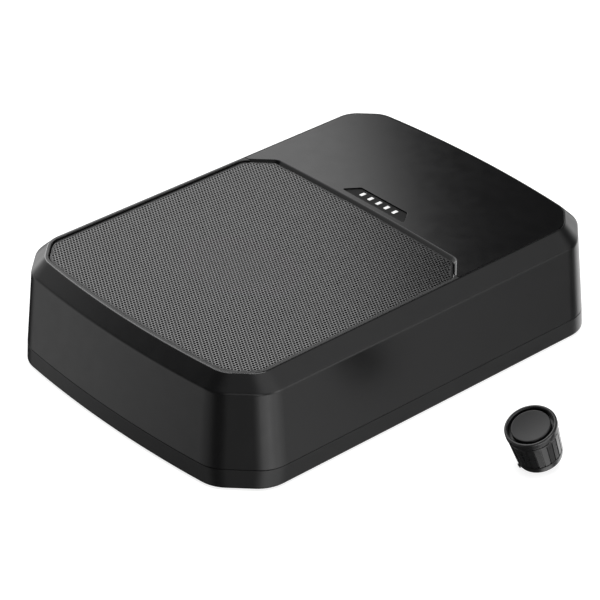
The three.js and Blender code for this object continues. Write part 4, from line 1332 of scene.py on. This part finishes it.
# Soft boxes all round: bearing, elevation, radius of the full part, radius where it ends, and brightness.
# Angles are in degrees. A negative brightness is a black flag, which takes light away.
SOFTBOXES = [
    (20, 33, 19.2, 21.2, 1.58),
    (30, 12, 6, 19, 1.2),
    (-12, 34, 4, 24, 0.94),
    (0, 60, 8, 24, 0.4),
    (12, 2, 8, 24, 1.44),
    (-18, -14, 10, 50, 0.63),
    (-62, -22, 8, 34, 0.39),
    (-45, -45, 5, 22, -0.74),
    (8, -30, 10, 30, -0.6),
    (78, 2, 6, 26, 1.0),
    (160, -18, 6, 36, 1.04),
    (200, -21, 14, 20, 1.48),
    (176, -22, 8, 22, 0.58),
    (121, -23, 8, 20, -1.1),
    (-135, 60, 8, 30, 0.22),
    (162, 44, 4, 42, 1.1),
    (158, 8, 4, 16, 2.5),
    (216, 14, 6, 18, 1.8),
    (-150, -24, 8, 26, 0.3),
    (150, -64, 10, 20, 1.2),
    (86, -32, 10, 32, 1.7),
]
AMBIENT = 0.015
OVERHEAD = Sizes(size=1.6, energy=34, height=1.8)  # metres and watts


def add_light():
    world = bpy.data.worlds.new("studio")
    bpy.context.scene.world = world
    world.use_nodes = True
    tree = world.node_tree
    ray = tree.nodes.new("ShaderNodeTexCoord").outputs["Generated"]
    total = AMBIENT
    for azimuth, elevation, full, end, level in SOFTBOXES:
        links = {0: ray, 1: direction(azimuth, elevation)}
        dot = add_node(tree, "ShaderNodeVectorMath", links, operation="DOT_PRODUCT").outputs["Value"]
        near, far = math.cos(math.radians(full)), math.cos(math.radians(end))
        links = {"Value": dot, "From Min": far, "From Max": near, "To Min": 0, "To Max": level}
        lobe = add_node(tree, "ShaderNodeMapRange", links, interpolation_type="SMOOTHSTEP").outputs["Result"]
        total = add_node(tree, "ShaderNodeMath", {0: lobe, 1: total}, operation="ADD").outputs[0]
    total = add_node(tree, "ShaderNodeMath", {0: total, 1: 0}, operation="MAXIMUM").outputs[0]
    background = tree.nodes["Background"]
    background.inputs["Color"].default_value = (1, 1, 1, 1)
    tree.links.new(total, background.inputs["Strength"])
    overhead = bpy.data.lights.new("overhead", "AREA")
    overhead.shape = "DISK"
    overhead.size = OVERHEAD.size
    overhead.energy = OVERHEAD.energy
    lamp = bpy.data.objects.new("overhead", overhead)
    bpy.context.scene.collection.objects.link(lamp)
    lamp.location = (0, 0, OVERHEAD.height)
    lamp.visible_glossy = False


add_camera()
add_floor()
add_light()
bpy.context.scene.view_settings.view_transform = "Standard"

build_shell()
build_cover()
build_gasket()
build_plate()
build_badge()
build_grille()
build_grille_frame()
build_underside()
build_surround()
build_spider()
build_cone()
build_trim_ring()
build_driver_screws()
build_leads()
build_panel()
build_sockets()
build_fuse()
build_jacks()
build_panel_knobs()
build_sliders()
build_marks()
build_led()
build_remote(remote_matrix())
build_board_details()
finish_carried_over()
